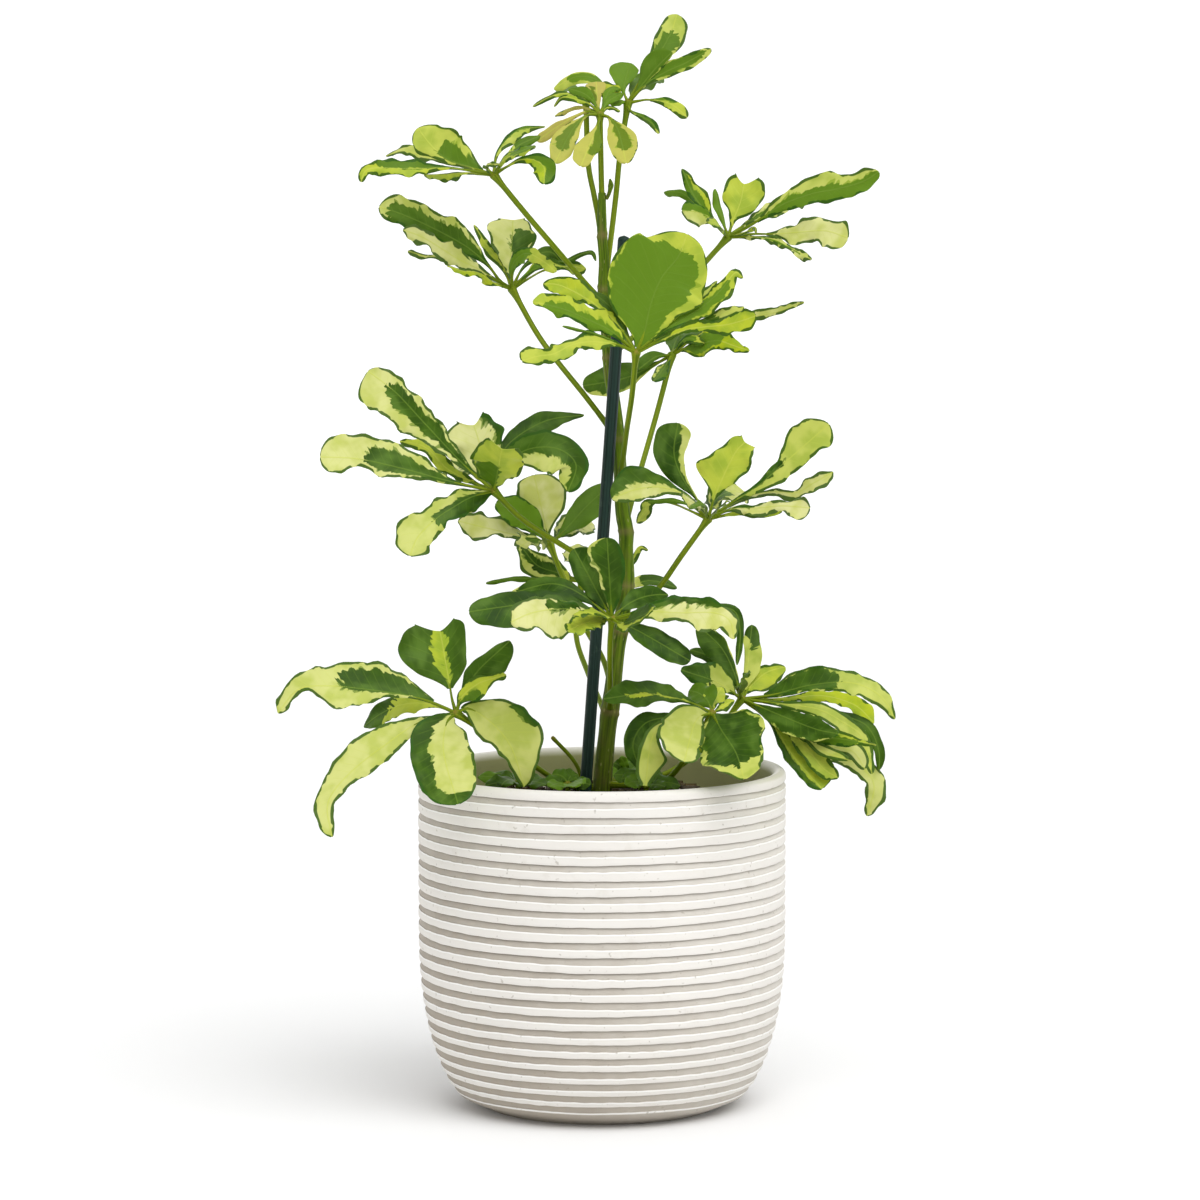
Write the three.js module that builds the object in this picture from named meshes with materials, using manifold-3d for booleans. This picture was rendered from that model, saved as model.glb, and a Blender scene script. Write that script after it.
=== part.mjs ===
// A variegated umbrella plant in a ribbed white pot, in millimetres, with +Z up.
// The origin is the middle of the pot's foot, on the surface that the pot stands on. +X is to the
// right and +Y to the back.
import * as THREE from "three"
import { mergeVertices } from "three/addons/utils/BufferGeometryUtils.js"
import Module from "manifold-3d"

const wasm = await Module()
wasm.setup()

// Pot
const POT_HEIGHT = 169
const POT_RADIUS = 91.5
const FOOT_RADIUS = 60
const SHOULDER_HEIGHT = 90 // below it, the wall curves in to the foot
const SHOULDER_POWER = 2.2 // 2 would be an ellipse, and more is squarer
const RIB_PITCH = 7.6 // along the wall
const FIRST_GROOVE = 5.4 // from the top of the rim
const RIB_COUNT = 23
const BAND_SHARE = 0.56 // of each pitch, flat and raised
const GROOVE_DEPTH = 1.1
const WALL = 7
const FLOOR = 8
const POT_SIDES = 28
const FOOT_BEVEL = 1.5
const BAND_SLOPE = 0.4 // along the wall, under each band
const LIP_OUTER_BEVEL = [2, 2.5] // inwards and down
const LIP_FLAT = 3
const LIP_INNER_DROP = 3
const INSIDE_HEIGHTS = [45, 22] // where the inner wall bends

// Soil, trunk and stake
const SOIL_HEIGHT = 157
const TRUNK_FOOT_HEIGHT = 105
const TRUNK_FOOT_RADIUS = 3.5
const TRUNK_SIDES = 8
const STAKE_RADIUS = 3
const STAKE_SIDES = 10
const STAKE_FOOT_HEIGHT = 30
const GAP = 0.3 // between pieces that touch

// Leaves
const BLADE_THICKNESS = 1.1
const STALKLET_RADIUS = 0.9
const STALKLET_SHARE = 0.13 // of a leaflet's length, bare, between hub and blade
const HUB_RADIUS = 2.5
const STALK_RADIUS = 1.45
const STALK_FOOT_RADIUS = 2
const STALK_SIDES = 5
const STALK_ROWS = 7
const STALK_PAST_HUB = 2
const LONG = 38 // longer leaflets get more rows
const SHORT = 20
const WAVES = 2.4 // along each edge of a blade
const EDGE_SHIFT = 0.37 // of a wave, between a blade's two edges
const OUTLINE_LEAN = 1.6 // 1 is widest at mid length, and more is widest nearer the tip
const OUTLINE_FULLNESS = 0.7 // less is blunter at both ends
const TIP_CROWDING = 1.25 // 1 spaces a blade's rows evenly, and more crowds them at its tip
const CUPPING = 0.12 // of the half width, raised at the edges

// Everything that grows is set out as it is seen from the front, by an eye that looks a little down:
// x to the right and z up, in millimetres at the trunk, and the depth behind the trunk's plane.
const EYE = new THREE.Vector3(-1, -2500, 487)
const AIM = new THREE.Vector3(-1, 0, 254.4)
const AIM_SEEN = new THREE.Vector2(-1, 262.5)
const FORWARD = AIM.clone().sub(EYE).normalize()
const RIGHT = new THREE.Vector3(1, 0, 0)
const UPWARD = RIGHT.clone().cross(FORWARD)
const UP = new THREE.Vector3(0, 0, 1)
const FRONT = new THREE.Vector3(0, -1, 0)

function seen([x, z, depth]) {
  const ray = FORWARD.clone()
    .multiplyScalar(EYE.distanceTo(AIM))
    .addScaledVector(RIGHT, x - AIM_SEEN.x)
    .addScaledVector(UPWARD, z - AIM_SEEN.y)
  return EYE.clone().addScaledVector(ray, (depth - EYE.y) / ray.y)
}

// The trunk's middle as seen, with its radius. It is thicker at each old leaf scar.
const TRUNK = [
  [0, 165, 4.8],
  [3, 200, 4.4],
  [4, 207, 5],
  [5, 215, 4.2],
  [8, 241, 3.9],
  [9, 247, 4.6],
  [10, 254, 3.7],
  [12, 270, 4.3],
  [12, 288, 3.5],
  [12, 297, 4.1],
  [10, 310, 3.5],
  [8, 347, 3.1],
  [4, 376, 3.1],
  [2, 400, 2.9],
  [1, 418, 3.2],
  [1, 432, 2.6],
  [0, 447, 2.6],
  [0, 466, 1.9],
]
const STAKE = [
  [-8.4, 166, -8.6],
  [11, 444, -8.6],
]

// Each compound leaf: its stalk from the trunk to the hub, as seen points with depth, and its leaflets.
// A leaflet is [tip x, tip z, tip depth behind the hub, bow, width, face, wave, twist]: the bow is how
// far the middle stands above the line from hub to tip, the face is how many degrees the upper side
// leans from straight up towards the front, and the wave is the height of the ripples at the edges.
const LEAVES = {
  leaf_upper_left: {
    stalk: [[0, 411, 0], [-20, 434.5, -10], [-38, 455.5, -18], [-54, 475, -26]],
    leaflets: [
      [-122, 475, -18, 2, 16, 42, 2.5],
      [-95, 492, 7, 4, 22, 65, 2],
      [-86, 474, 41, 3, 14, 50, 2],
      [-28, 499, 24, 5, 12, 60, 2],
      [-28, 471, -24, 13, 17, 70, 2],
      [-44, 487, -31, 3, 10, 50, 2],
      [-106, 487, 46, 3, 13, 50, 2],
    ],
  },
  leaf_second_left: {
    stalk: [[8, 343, 0], [-8, 364, 3], [-30, 392, 12], [-45, 418, 20]],
    leaflets: [
      [-112, 459, -6, 4, 23, 62, 3],
      [-99, 441, -29, 0, 15, 48, 4],
      [-45, 453, 20, 0, 26, 88, 2],
      [-64, 450, 32, 2, 10, 80, 2],
      [-27, 431, -34, 6, 16, 60, 2],
      [-22, 427, 3, 8, 13, 60, 2],
      [-3, 434, 10, 2, 13, 62, 2],
      [-72, 432, 55, 4, 18, 55, 2],
    ],
  },
  leaf_top: {
    stalk: [[0, 460, 0], [-0.5, 480, 0], [-1, 505, 0]],
    leaflets: [
      [-24, 480, -22, 4, 14, 66, 0.6],
      [-10, 479, -31, 3, 13, 70, 0.6],
      [12, 480, -29, 4, 15, 66, 0.6],
      [-32, 490, 7, 4, 9, 55, 0.6],
      [-25, 503, 17, 3, 9, 50, 0.6],
      [15, 497, 10, 3, 9, 55, 0.6],
      [2, 499, 36, 4, 13, 40, 0.6],
      [-22, 508, 19, 4, 11, 40, 0.6],
    ],
  },
  leaf_top_back: {
    stalk: [[0, 445, 0], [-4, 465, 8], [-7, 482, 14], [-8, 512, 27]],
    leaflets: [
      [-29, 517, 6, 5, 13, 40, 0.8],
      [-34, 508, -4, 5, 8, 50, 0.8],
      [4, 520, 18, 5, 13, 40, 0.8],
      [-17, 523, 36, 3, 14, 50, 0.8],
      [9, 515, -5, 4, 10, 50, 0.8],
    ],
  },
  leaf_top_right: {
    stalk: [[1, 418, 0], [4, 440, 3], [7, 465, 11], [9, 485, 14], [13, 511, 18]],
    leaflets: [
      [39, 555.5, 18, -4, 15, 80, 1],
      [35, 538, -5, 2, 15, 65, 0.8],
      [54, 538, -8, 2, 11, 60, 1],
      [11.5, 532.5, 16, 1, 17, 70, 0.6],
      [42.5, 503.5, -13, 4, 10, 58, 0.8],
      [28, 496, -26, 2, 8, 60, 0.8],
      [30, 525, 44, 3, 13, 50, 0.8],
    ],
  },
  leaf_upper_right: {
    stalk: [[3, 384, 0], [25, 402, 14], [45, 424, 30], [63, 444, 45]],
    leaflets: [
      [139, 477, -12, 2, 18, 62, 2.5],
      [123, 442, -26, 3, 19, 50, 4],
      [105, 433, -43, 5, 9, 45, 3],
      [76, 475, 10, 0, 23, 85, 2],
      [40, 478, 17, -1, 13, 70, 2],
      [31, 467, 31, 3, 10, 60, 2],
      [39, 456, -17, 4, 16, 62, 2],
      [55, 446, -38, 4, 12, 60, 2],
      [88, 458, 53, 4, 17, 55, 2],
    ],
  },
  leaf_round_front: {
    stalk: [[9, 320, 0], [12, 345, -27], [15, 365, -51], [17, 386, -66]],
    leaflets: [
      [32, 447.5, 8, 2, 50, 95, 0.4],
      [-35, 411, -18, 4, 18, 52, 3],
      [-30, 421, 10, 3, 20, 62, 3],
      [-39, 382, -36, 7, 13, 45, 3],
      [-20, 399, -44, 4, 10, 50, 2],
      [70, 427, 8, 2, 15, 60, 4],
      [58, 418, 26, 2, 14, 60, 2],
      [77, 405, -26, 3, 15, 50, 4],
    ],
  },
  leaf_middle_right: {
    stalk: [[12, 303, 0], [20, 330, 18], [28, 358, 40], [35, 385, 55]],
    leaflets: [
      [101, 411, 0, 4, 12, 45, 3],
      [74, 387, -29, 6, 17, 50, 4],
      [60, 402, 34, 3, 14, 55, 2],
      [26, 372, -31, 2, 12, 60, 1],
      [-8, 368, -8, 2, 15, 60, 1],
      [12, 367, 10, 2, 14, 60, 1],
      [52, 386, -8, -3, 12, 50, 2],
      [62, 394, 50, 5, 17, 45, 2],
    ],
  },
  leaf_left: {
    stalk: [[11, 268, 0], [-2, 279, 0], [-20, 290, -14], [-40, 303, -31], [-54, 317, -42]],
    leaflets: [
      [-120, 373, 0, -1, 25, 68, 3],
      [-141, 334, -14, 6, 24, 62, 3],
      [-101, 342, 26, 5, 13, 55, 2],
      [-101, 288, -26, 4, 21, 62, 3],
      [-63, 354, 12, 1, 28, 82, 3],
      [-38, 343, -29, 0, 22, 85, 3],
      [-9, 355, 29, 11, 15, 60, 0.6],
      [-12, 316, -10, 23, 23, 62, 1],
      [-78, 330, 55, 5, 19, 50, 2],
    ],
  },
  leaf_right: {
    stalk: [[11, 249, 0], [28, 268, -13], [40, 285, -24], [53, 303, -32]],
    leaflets: [
      [5, 313, -14, 4, 20, 60, 3],
      [36, 351, 10, -6, 21, 82, 1],
      [76, 343, 5, 2, 25, 75, 3],
      [115, 350, -5, 3, 21, 68, 3],
      [116, 327, 14, -2, 12, 52, 3],
      [105, 309, -26, 3, 14, 48, 4],
      [40, 314, -41, 3, 14, 60, 3],
      [62, 304, -53, 4, 16, 40, 2],
      [72, 316, 53, 6, 18, 50, 2],
      [13, 327, 8, 3, 14, 60, 1],
    ],
  },
  leaf_low_left: {
    stalk: [[5, 220, 0], [0, 234, 15], [-8, 248, 28], [-18, 270, 42], [-26, 290, 50]],
    leaflets: [
      [-39, 325, 6, 0, 17, 82, 2],
      [-53, 313, 26, 2, 16, 72, 1],
      [-74, 302, 0, 0, 18, 62, 3],
      [5, 325, 21, -2, 17, 72, 0.6],
      [-41, 289, -31, 3, 13, 50, 2],
      [-4, 300, 44, 4, 16, 55, 1],
    ],
  },
  leaf_back: {
    stalk: [[3, 203, 0], [-7, 226, 42], [-13, 246, 67], [-10, 272, 84]],
    leaflets: [
      [-58, 271, -10, 3, 9, 40, 1],
      [-43, 284, 10, 3, 14, 60, 2],
      [22, 290, 5, 3, 14, 60, 3],
      [38, 269, 5, 3, 11, 50, 1],
      [-16, 289, 55, 4, 18, 45, 1],
      [8, 262, 49, 6, 16, 35, 2],
      [-32, 262, 39, 6, 16, 40, 2],
    ],
  },
  leaf_front: {
    stalk: [[4, 207, 0], [4, 222, -31], [4, 240, -61], [5, 253, -76]],
    leaflets: [
      [-17, 289, 8, 2, 20, 76, 1],
      [3, 294, -8, 1, 20, 86, 1],
      [-46, 266, 10, 6, 15, 52, 0.6],
      [-66, 255, -8, 7, 20, 60, 1],
      [-45, 247, -31, 5, 19, 70, 3],
      [-15, 243, -44, 4, 15, 60, 1],
      [22, 246, -49, 5, 16, 40, 2],
      [67, 243, -13, 12, 19, 60, 3],
      [33, 264, 23, 4, 14, 60, 1],
      [45, 231, -3, 1, 15, 62, 1],
    ],
  },
  leaf_low_front_left: {
    stalk: [[2, 169, 2], [-12, 169, 0], [-22, 172, -10], [-33, 179, -22], [-73, 206, -58]],
    leaflets: [
      [-162, 206, -10, 18, 19, 60, 2],
      [-135, 145, -26, 20, 18, 68, 1],
      [-119, 198, 29, 8, 15, 50, 1],
      [-88, 250, 14, 0, 32, 82, 1],
      [-46, 242, 7, -1, 16, 68, 1, 40],
      [-39, 170, -4, 17, 26, 66, 1.5],
      [-71, 160, -43, -9, 31, 66, 1],
    ],
  },
  leaf_low_front_right: {
    stalk: [[4, 170, -1], [28, 171, -18], [40, 181, -30], [55, 206, -45]],
    leaflets: [
      [1, 214, -10, 5, 14, 52, 2],
      [22, 170, -18, 14, 20, 62, 2],
      [40, 181, -43, 4, 20, 80, 1.5],
      [71, 171, -50, 0, 33, 74, 1.5],
      [44, 217, 22, 3, 12, 62, 2],
      [60, 219, 26, 1, 12, 70, 2],
    ],
  },
  leaf_low_right: {
    stalk: [[4, 172, 3], [30, 175, 12], [52, 190, 16], [70, 213, 20]],
    leaflets: [
      [50, 250, 14, 0, 18, 76, 1],
      [39, 230, -6, 3, 15, 62, 2],
      [75, 250, 22, 0, 13, 78, 1],
      [92, 231, 20, 3, 15, 62, 2],
      [147, 203, -6, 15, 20, 55, 3],
      [142, 200, 31, 16, 15, 50, 3],
      [134, 176, -20, 19, 17, 58, 3],
      [137, 190, -42, 10, 18, 60, 2],
      [109, 167, -31, 8, 19, 62, 3],
      [136, 155, -3, 22, 15, 60, 2],
      [74, 226, -36, 3, 8, 60, 1],
    ],
  },
  shoot_left: {
    stalk: [[-42, 160, -22], [-42, 166, -22], [-42, 171, -22]],
    leaflets: [
      [-63, 175, 6, 2, 12, 50, 0.6],
      [-54, 178, 14, 2, 13, 60, 0.6],
      [-36, 176, 18, 2, 12, 60, 0.6],
      [-28, 170, -18, 1, 10, 50, 0.6],
      [-50, 170, -16, 2, 12, 50, 0.6],
    ],
  },
  shoot_front: {
    stalk: [[-17, 160, -30], [-17, 166, -30], [-17, 170, -30]],
    leaflets: [
      [-20, 178, 12, 2, 11, 60, 0.6],
      [-5, 172, -6, 2, 11, 50, 0.6],
      [-24, 170, -14, 2, 11, 50, 0.6],
    ],
  },
  shoot_back: {
    stalk: [[13, 160, 22], [13, 168, 22], [12, 175, 22]],
    leaflets: [
      [6, 184, 2, 1, 9, 70, 0.6],
      [22, 181, 2, 2, 11, 60, 0.6],
      [16, 184, 16, 2, 12, 60, 0.6],
      [28, 173, -8, 3, 12, 50, 0.6],
      [-4, 178, 10, 3, 11, 50, 0.6],
    ],
  },
  shoot_right: {
    stalk: [[22, 160, -34], [22, 165, -34], [22, 169, -34]],
    leaflets: [
      [8, 174, 8, 2, 11, 55, 0.6],
      [16, 178, 14, 2, 11, 60, 0.6],
      [38, 172, 6, 2, 12, 50, 0.6],
      [30, 177, 14, 2, 11, 60, 0.6],
    ],
  },
}
const CUT_STALK = [[-9, 160, 12], [-10, 172, 12], [-14, 182, 11], [-25, 194, 9]]
const CUT_STALK_RADIUS = 1

const COLOURS = {
  pot: [0.86, 0.84, 0.79],
  soil: [0.17, 0.14, 0.09],
  bark: [0.4, 0.46, 0.18],
  stake: [0.06, 0.16, 0.15],
  leaf: [0.56, 0.68, 0.26],
  shoot: [0.2, 0.36, 0.14],
}

function material(colour, roughness) {
  return new THREE.MeshStandardMaterial({
    color: new THREE.Color().setRGB(...colour, THREE.SRGBColorSpace),
    roughness,
    metalness: 0,
  })
}

// A repeatable number from 0 to 1.
function chance(n) {
  const value = Math.sin(n * 12.9898) * 43758.5453
  return value - Math.floor(value)
}

// Solids for joining and cutting
function toSolid(geometry) {
  const bare = geometry.clone()
  bare.deleteAttribute("normal")
  bare.deleteAttribute("uv")
  const merged = mergeVertices(bare, 1e-5)
  const corners = merged.index.array
  const kept = []
  for (let i = 0; i < corners.length; i += 3) {
    const [a, b, c] = corners.slice(i, i + 3)
    if (a !== b && b !== c && c !== a) kept.push(a, b, c)
  }
  const vertProperties = new Float32Array(merged.attributes.position.array)
  return new wasm.Manifold(new wasm.Mesh({ numProp: 3, vertProperties, triVerts: new Uint32Array(kept) }))
}

function toGeometry(solid) {
  const { vertProperties, triVerts } = solid.getMesh()
  const geometry = new THREE.BufferGeometry()
  geometry.setAttribute("position", new THREE.BufferAttribute(vertProperties, 3))
  geometry.setIndex(new THREE.BufferAttribute(triVerts, 1))
  geometry.computeVertexNormals()
  return geometry
}

function united(solids) {
  return solids.reduce((whole, next) => whole.add(next))
}

// A round stem along a smooth curve through the points, with its radius from a share of its length.
function stem(points, radiusAt, sides, rows) {
  const curve = new THREE.CatmullRomCurve3(points)
  const frames = curve.computeFrenetFrames(rows)
  const shape = new THREE.CylinderGeometry(1, 1, 1, sides, rows)
  const place = shape.attributes.position
  for (let i = 0; i < place.count; i++) {
    const share = place.getY(i) + 0.5
    const row = Math.round(share * rows)
    const radius = radiusAt(share)
    const point = curve
      .getPointAt(share)
      .addScaledVector(frames.normals[row], place.getX(i) * radius)
      .addScaledVector(frames.binormals[row], -place.getZ(i) * radius)
    place.setXYZ(i, point.x, point.y, point.z)
  }
  return toSolid(shape)
}

// The pot's outer radius at a height: straight above the shoulder, curved in to the foot below it.
function wallRadius(z) {
  const drop = Math.max(0, (SHOULDER_HEIGHT - z) / SHOULDER_HEIGHT)
  return FOOT_RADIUS + (POT_RADIUS - FOOT_RADIUS) * Math.sqrt(1 - drop ** SHOULDER_POWER)
}

// The point of the wall at a distance down from the rim, with its outward direction.
function wallAt(distance) {
  const step = 0.25
  let z = POT_HEIGHT
  let gone = 0
  while (gone < distance && z > 0) {
    z -= step
    gone += Math.hypot(step, wallRadius(z + step) - wallRadius(z))
  }
  const outward = new THREE.Vector2(1, (wallRadius(z - step) - wallRadius(z + step)) / (2 * step))
  return { point: new THREE.Vector2(wallRadius(z), z), outward: outward.normalize() }
}

// The pot's inner wall, from the lip down to the floor, drawn in by an extra distance.
function insideProfile(top, extra) {
  const heights = [top, SHOULDER_HEIGHT, ...INSIDE_HEIGHTS, FLOOR + extra]
  return heights.map((z) => new THREE.Vector2(wallRadius(z) - WALL - extra, z))
}

function lathe(profile) {
  return new THREE.LatheGeometry(profile, POT_SIDES).rotateX(Math.PI / 2)
}

function pot() {
  const profile = [new THREE.Vector2(0, 0), new THREE.Vector2(FOOT_RADIUS - FOOT_BEVEL, 0)]
  for (let rib = RIB_COUNT - 1; rib >= 0; rib--) {
    const groove = FIRST_GROOVE + rib * RIB_PITCH
    const low = wallAt(groove + RIB_PITCH * (1 - BAND_SHARE))
    const deep = wallAt(groove)
    const sill = deep.point.clone().addScaledVector(deep.outward, -GROOVE_DEPTH)
    const high = wallAt(groove - BAND_SLOPE)
    if (rib < RIB_COUNT - 1) profile.push(low.point)
    profile.push(sill, high.point)
  }
  const [lipInset, lipDrop] = LIP_OUTER_BEVEL
  profile.push(new THREE.Vector2(POT_RADIUS, POT_HEIGHT - lipDrop))
  profile.push(new THREE.Vector2(POT_RADIUS - lipInset, POT_HEIGHT))
  profile.push(new THREE.Vector2(POT_RADIUS - lipInset - LIP_FLAT, POT_HEIGHT))
  profile.push(...insideProfile(POT_HEIGHT - LIP_INNER_DROP, 0), new THREE.Vector2(0, FLOOR))
  return lathe(profile)
}

// Hollow profiles start and end on the axis, so the soil closes over the pot's floor.
function soil(holes) {
  const inside = insideProfile(SOIL_HEIGHT, GAP).reverse()
  const profile = [new THREE.Vector2(0, FLOOR + GAP), ...inside, new THREE.Vector2(0, SOIL_HEIGHT)]
  return holes.reduce((filled, hole) => filled.subtract(hole), toSolid(lathe(profile)))
}

function trunk(extra) {
  const points = TRUNK.map(([x, z]) => seen([x, z, 0]))
  const foot = points[0].clone().setZ(TRUNK_FOOT_HEIGHT - extra)
  const curve = new THREE.CatmullRomCurve3([foot, ...points])
  const radii = [TRUNK_FOOT_RADIUS, ...TRUNK.map(([, , radius]) => radius)]
  const rows = radii.length - 1
  const shape = new THREE.CylinderGeometry(1, 1, 1, TRUNK_SIDES, rows)
  const place = shape.attributes.position
  for (let i = 0; i < place.count; i++) {
    const row = Math.round((place.getY(i) + 0.5) * rows)
    const point = curve.getPoint(row / rows)
    const radius = radii[row] + extra
    place.setXYZ(i, point.x + place.getX(i) * radius, point.y - place.getZ(i) * radius, point.z)
  }
  return toSolid(shape)
}

function stake(extra) {
  const [low, top] = STAKE.map(seen)
  const share = (STAKE_FOOT_HEIGHT - low.z) / (top.z - low.z)
  const foot = low.clone().lerp(top, share)
  return stem([foot, top], () => STAKE_RADIUS + extra, STAKE_SIDES, 1)
}

function stalk(points, extra) {
  const radiusAt = (share) => {
    const foot = Math.max(0, 1 - share * 6) * (STALK_FOOT_RADIUS - STALK_RADIUS)
    const hub = Math.max(0, share * 8 - 7) * (HUB_RADIUS - STALK_RADIUS)
    return STALK_RADIUS + foot + hub + extra
  }
  const curve = new THREE.CatmullRomCurve3(points)
  const past = curve.getTangentAt(1).multiplyScalar(STALK_PAST_HUB).add(points.at(-1))
  return stem([...points, past], radiusAt, STALK_SIDES, STALK_ROWS)
}

// A leaflet's middle line, from the hub to the tip, bowed by its middle.
function midrib(hub, [x, z, depth, bow]) {
  const along = new THREE.Vector2(x - hub[0], z - hub[1])
  const side = Math.sign(along.x || 1) / along.length()
  const middle = [
    (hub[0] + x) / 2 - along.y * side * bow,
    (hub[1] + z) / 2 + along.x * side * bow,
    hub[2] + depth / 2,
  ]
  const [start, via, end] = [hub, middle, [x, z, hub[2] + depth]].map(seen)
  const pull = via.multiplyScalar(2).addScaledVector(start, -0.5).addScaledVector(end, -0.5)
  return new THREE.QuadraticBezierCurve3(start, pull, end)
}

// Half of a blade's width at a share of its length, as a share of its greatest.
function outline(share) {
  return Math.sin(Math.PI * share ** OUTLINE_LEAN) ** OUTLINE_FULLNESS
}

// One leaflet: a bare stalklet, then a thin blade that is widest past its middle, with waved edges.
// Its upper and lower faces are split into like triangles, and meet along its edges.
function leaflet(hub, row, seed) {
  const [, , , , width, face, wave, twist = 0] = row
  const curve = midrib(hub, row)
  const length = curve.getLength()
  const bladeRows = length > LONG ? 6 : length > SHORT ? 4 : 3
  const lean = THREE.MathUtils.degToRad(face)
  const skyward = UP.clone().multiplyScalar(Math.cos(lean)).addScaledVector(FRONT, Math.sin(lean))
  const shares = [0, STALKLET_SHARE]
  for (let k = 1; k <= bladeRows; k++) {
    shares.push(STALKLET_SHARE + (1 - STALKLET_SHARE) * (1 - (1 - k / bladeRows) ** TIP_CROWDING))
  }
  const places = []
  const faces = []
  const add = (point) => places.push(point.x, point.y, point.z) / 3 - 1
  let before = null
  for (const share of shares.slice(0, -1)) {
    const q = (share - STALKLET_SHARE) / (1 - STALKLET_SHARE)
    const along = curve.getTangent(share)
    const normal = skyward.clone().addScaledVector(along, -skyward.dot(along)).normalize()
    normal.applyAxisAngle(along, THREE.MathUtils.degToRad(twist) * share)
    const across = normal.clone().cross(along)
    const inBlade = q > 0
    const half = inBlade ? (width / 2) * outline(q) : STALKLET_RADIUS
    const thick = inBlade ? BLADE_THICKNESS / 2 : STALKLET_RADIUS
    const middle = curve.getPoint(share)
    const [left, right] = [-1, 1].map((side) => {
      const phase = 2 * Math.PI * (WAVES * q + chance(seed) + (side < 0 ? EDGE_SHIFT : 0))
      const lift = inBlade ? wave * Math.sin(phase) + CUPPING * half : 0
      return add(middle.clone().addScaledVector(across, side * half).addScaledVector(normal, lift))
    })
    const upper = add(middle.clone().addScaledVector(normal, thick))
    const lower = add(middle.clone().addScaledVector(normal, -thick))
    if (before) {
      before.forEach((corner, i) => {
        const next = (i + 1) % 4
        const ring = [left, upper, right, lower]
        if (i < 2) faces.push(corner, ring[i], ring[next], corner, ring[next], before[next])
        else faces.push(corner, ring[i], before[next], before[next], ring[i], ring[next])
      })
    } else {
      faces.push(left, upper, right, left, right, lower)
    }
    before = [left, upper, right, lower]
  }
  const tip = add(curve.getPoint(1))
  before.forEach((corner, i) => faces.push(corner, tip, before[(i + 1) % 4]))
  const geometry = new THREE.BufferGeometry()
  geometry.setAttribute("position", new THREE.BufferAttribute(new Float32Array(places), 3))
  geometry.setIndex(faces)
  return toSolid(geometry)
}

function leaf({ stalk: path, leaflets }, order) {
  const hub = path.at(-1)
  const blades = leaflets.map((row, i) => leaflet(hub, row, order * 20 + i + 1))
  return united([stalk(path.map(seen), 0), ...blades])
}

// Assembly
const plant = new THREE.Group()

function addPiece(name, geometry, colour, roughness) {
  const mesh = new THREE.Mesh(geometry, material(colour, roughness))
  mesh.name = name
  plant.add(mesh)
}

const wideTrunk = trunk(GAP)
const wideStake = stake(GAP)
const cutStalk = (extra) => stem(CUT_STALK.map(seen), () => CUT_STALK_RADIUS + extra, 6, 4)
const shoots = Object.keys(LEAVES).filter((name) => name.startsWith("shoot"))
const holes = shoots.map((name) => stalk(LEAVES[name].stalk.map(seen), GAP))

addPiece("pot", pot(), COLOURS.pot, 0.75)
addPiece("soil", toGeometry(soil([wideTrunk, wideStake, cutStalk(GAP), ...holes])), COLOURS.soil, 0.95)
addPiece("trunk", toGeometry(trunk(0)), COLOURS.bark, 0.6)
addPiece("stake", toGeometry(stake(0)), COLOURS.stake, 0.4)
addPiece("cut_stalk", toGeometry(cutStalk(0)), COLOURS.bark, 0.6)
Object.entries(LEAVES).forEach(([name, parts], order) => {
  const cut = leaf(parts, order).subtract(wideTrunk)
  addPiece(name, toGeometry(cut), name.startsWith("shoot") ? COLOURS.shoot : COLOURS.leaf, 0.4)
})

export default plant
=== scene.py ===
import math
from collections import namedtuple

import bpy
import numpy as np
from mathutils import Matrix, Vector


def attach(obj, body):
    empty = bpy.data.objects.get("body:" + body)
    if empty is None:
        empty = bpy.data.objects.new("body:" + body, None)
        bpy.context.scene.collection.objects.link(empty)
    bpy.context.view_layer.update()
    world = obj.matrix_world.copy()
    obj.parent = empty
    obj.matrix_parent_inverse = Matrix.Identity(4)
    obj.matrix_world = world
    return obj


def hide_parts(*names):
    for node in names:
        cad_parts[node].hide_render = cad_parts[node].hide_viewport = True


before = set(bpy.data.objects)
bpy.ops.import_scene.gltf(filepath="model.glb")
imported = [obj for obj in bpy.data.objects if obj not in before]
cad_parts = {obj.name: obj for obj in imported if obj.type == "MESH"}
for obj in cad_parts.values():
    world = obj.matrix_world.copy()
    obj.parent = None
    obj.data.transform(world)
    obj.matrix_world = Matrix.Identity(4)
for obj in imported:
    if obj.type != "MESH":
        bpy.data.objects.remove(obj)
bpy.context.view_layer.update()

MM = 0.001

# Pot, in millimetres
POT_HEIGHT = 169.6
POT_RADIUS = 92.2
FOOT_RADIUS = 60.0
SHOULDER_HEIGHT = 90.0
SHOULDER_POWER = 2.2
RIM_END = 1.9
FIRST_GROOVE = 5.0
GROOVE_DEPTH = 1.3
RIB_PITCH = 7.85
PITCH_LOSS = 0.022
RIB_COUNT = 22
BAND_SHARE = 0.6
LOWER_GROOVES = 0.2
WALL = 7.0
FLOOR = 8.0
FOOT_HOLLOW = 1.2
POT_SIDES = 288
WALL_STEPS = 3000
# the side of the rim with painted green light reflected from the leaves, and how far round it spreads
REFLECTED_GREEN_ANGLE = -0.35
REFLECTED_GREEN_SPREAD = 0.2

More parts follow.
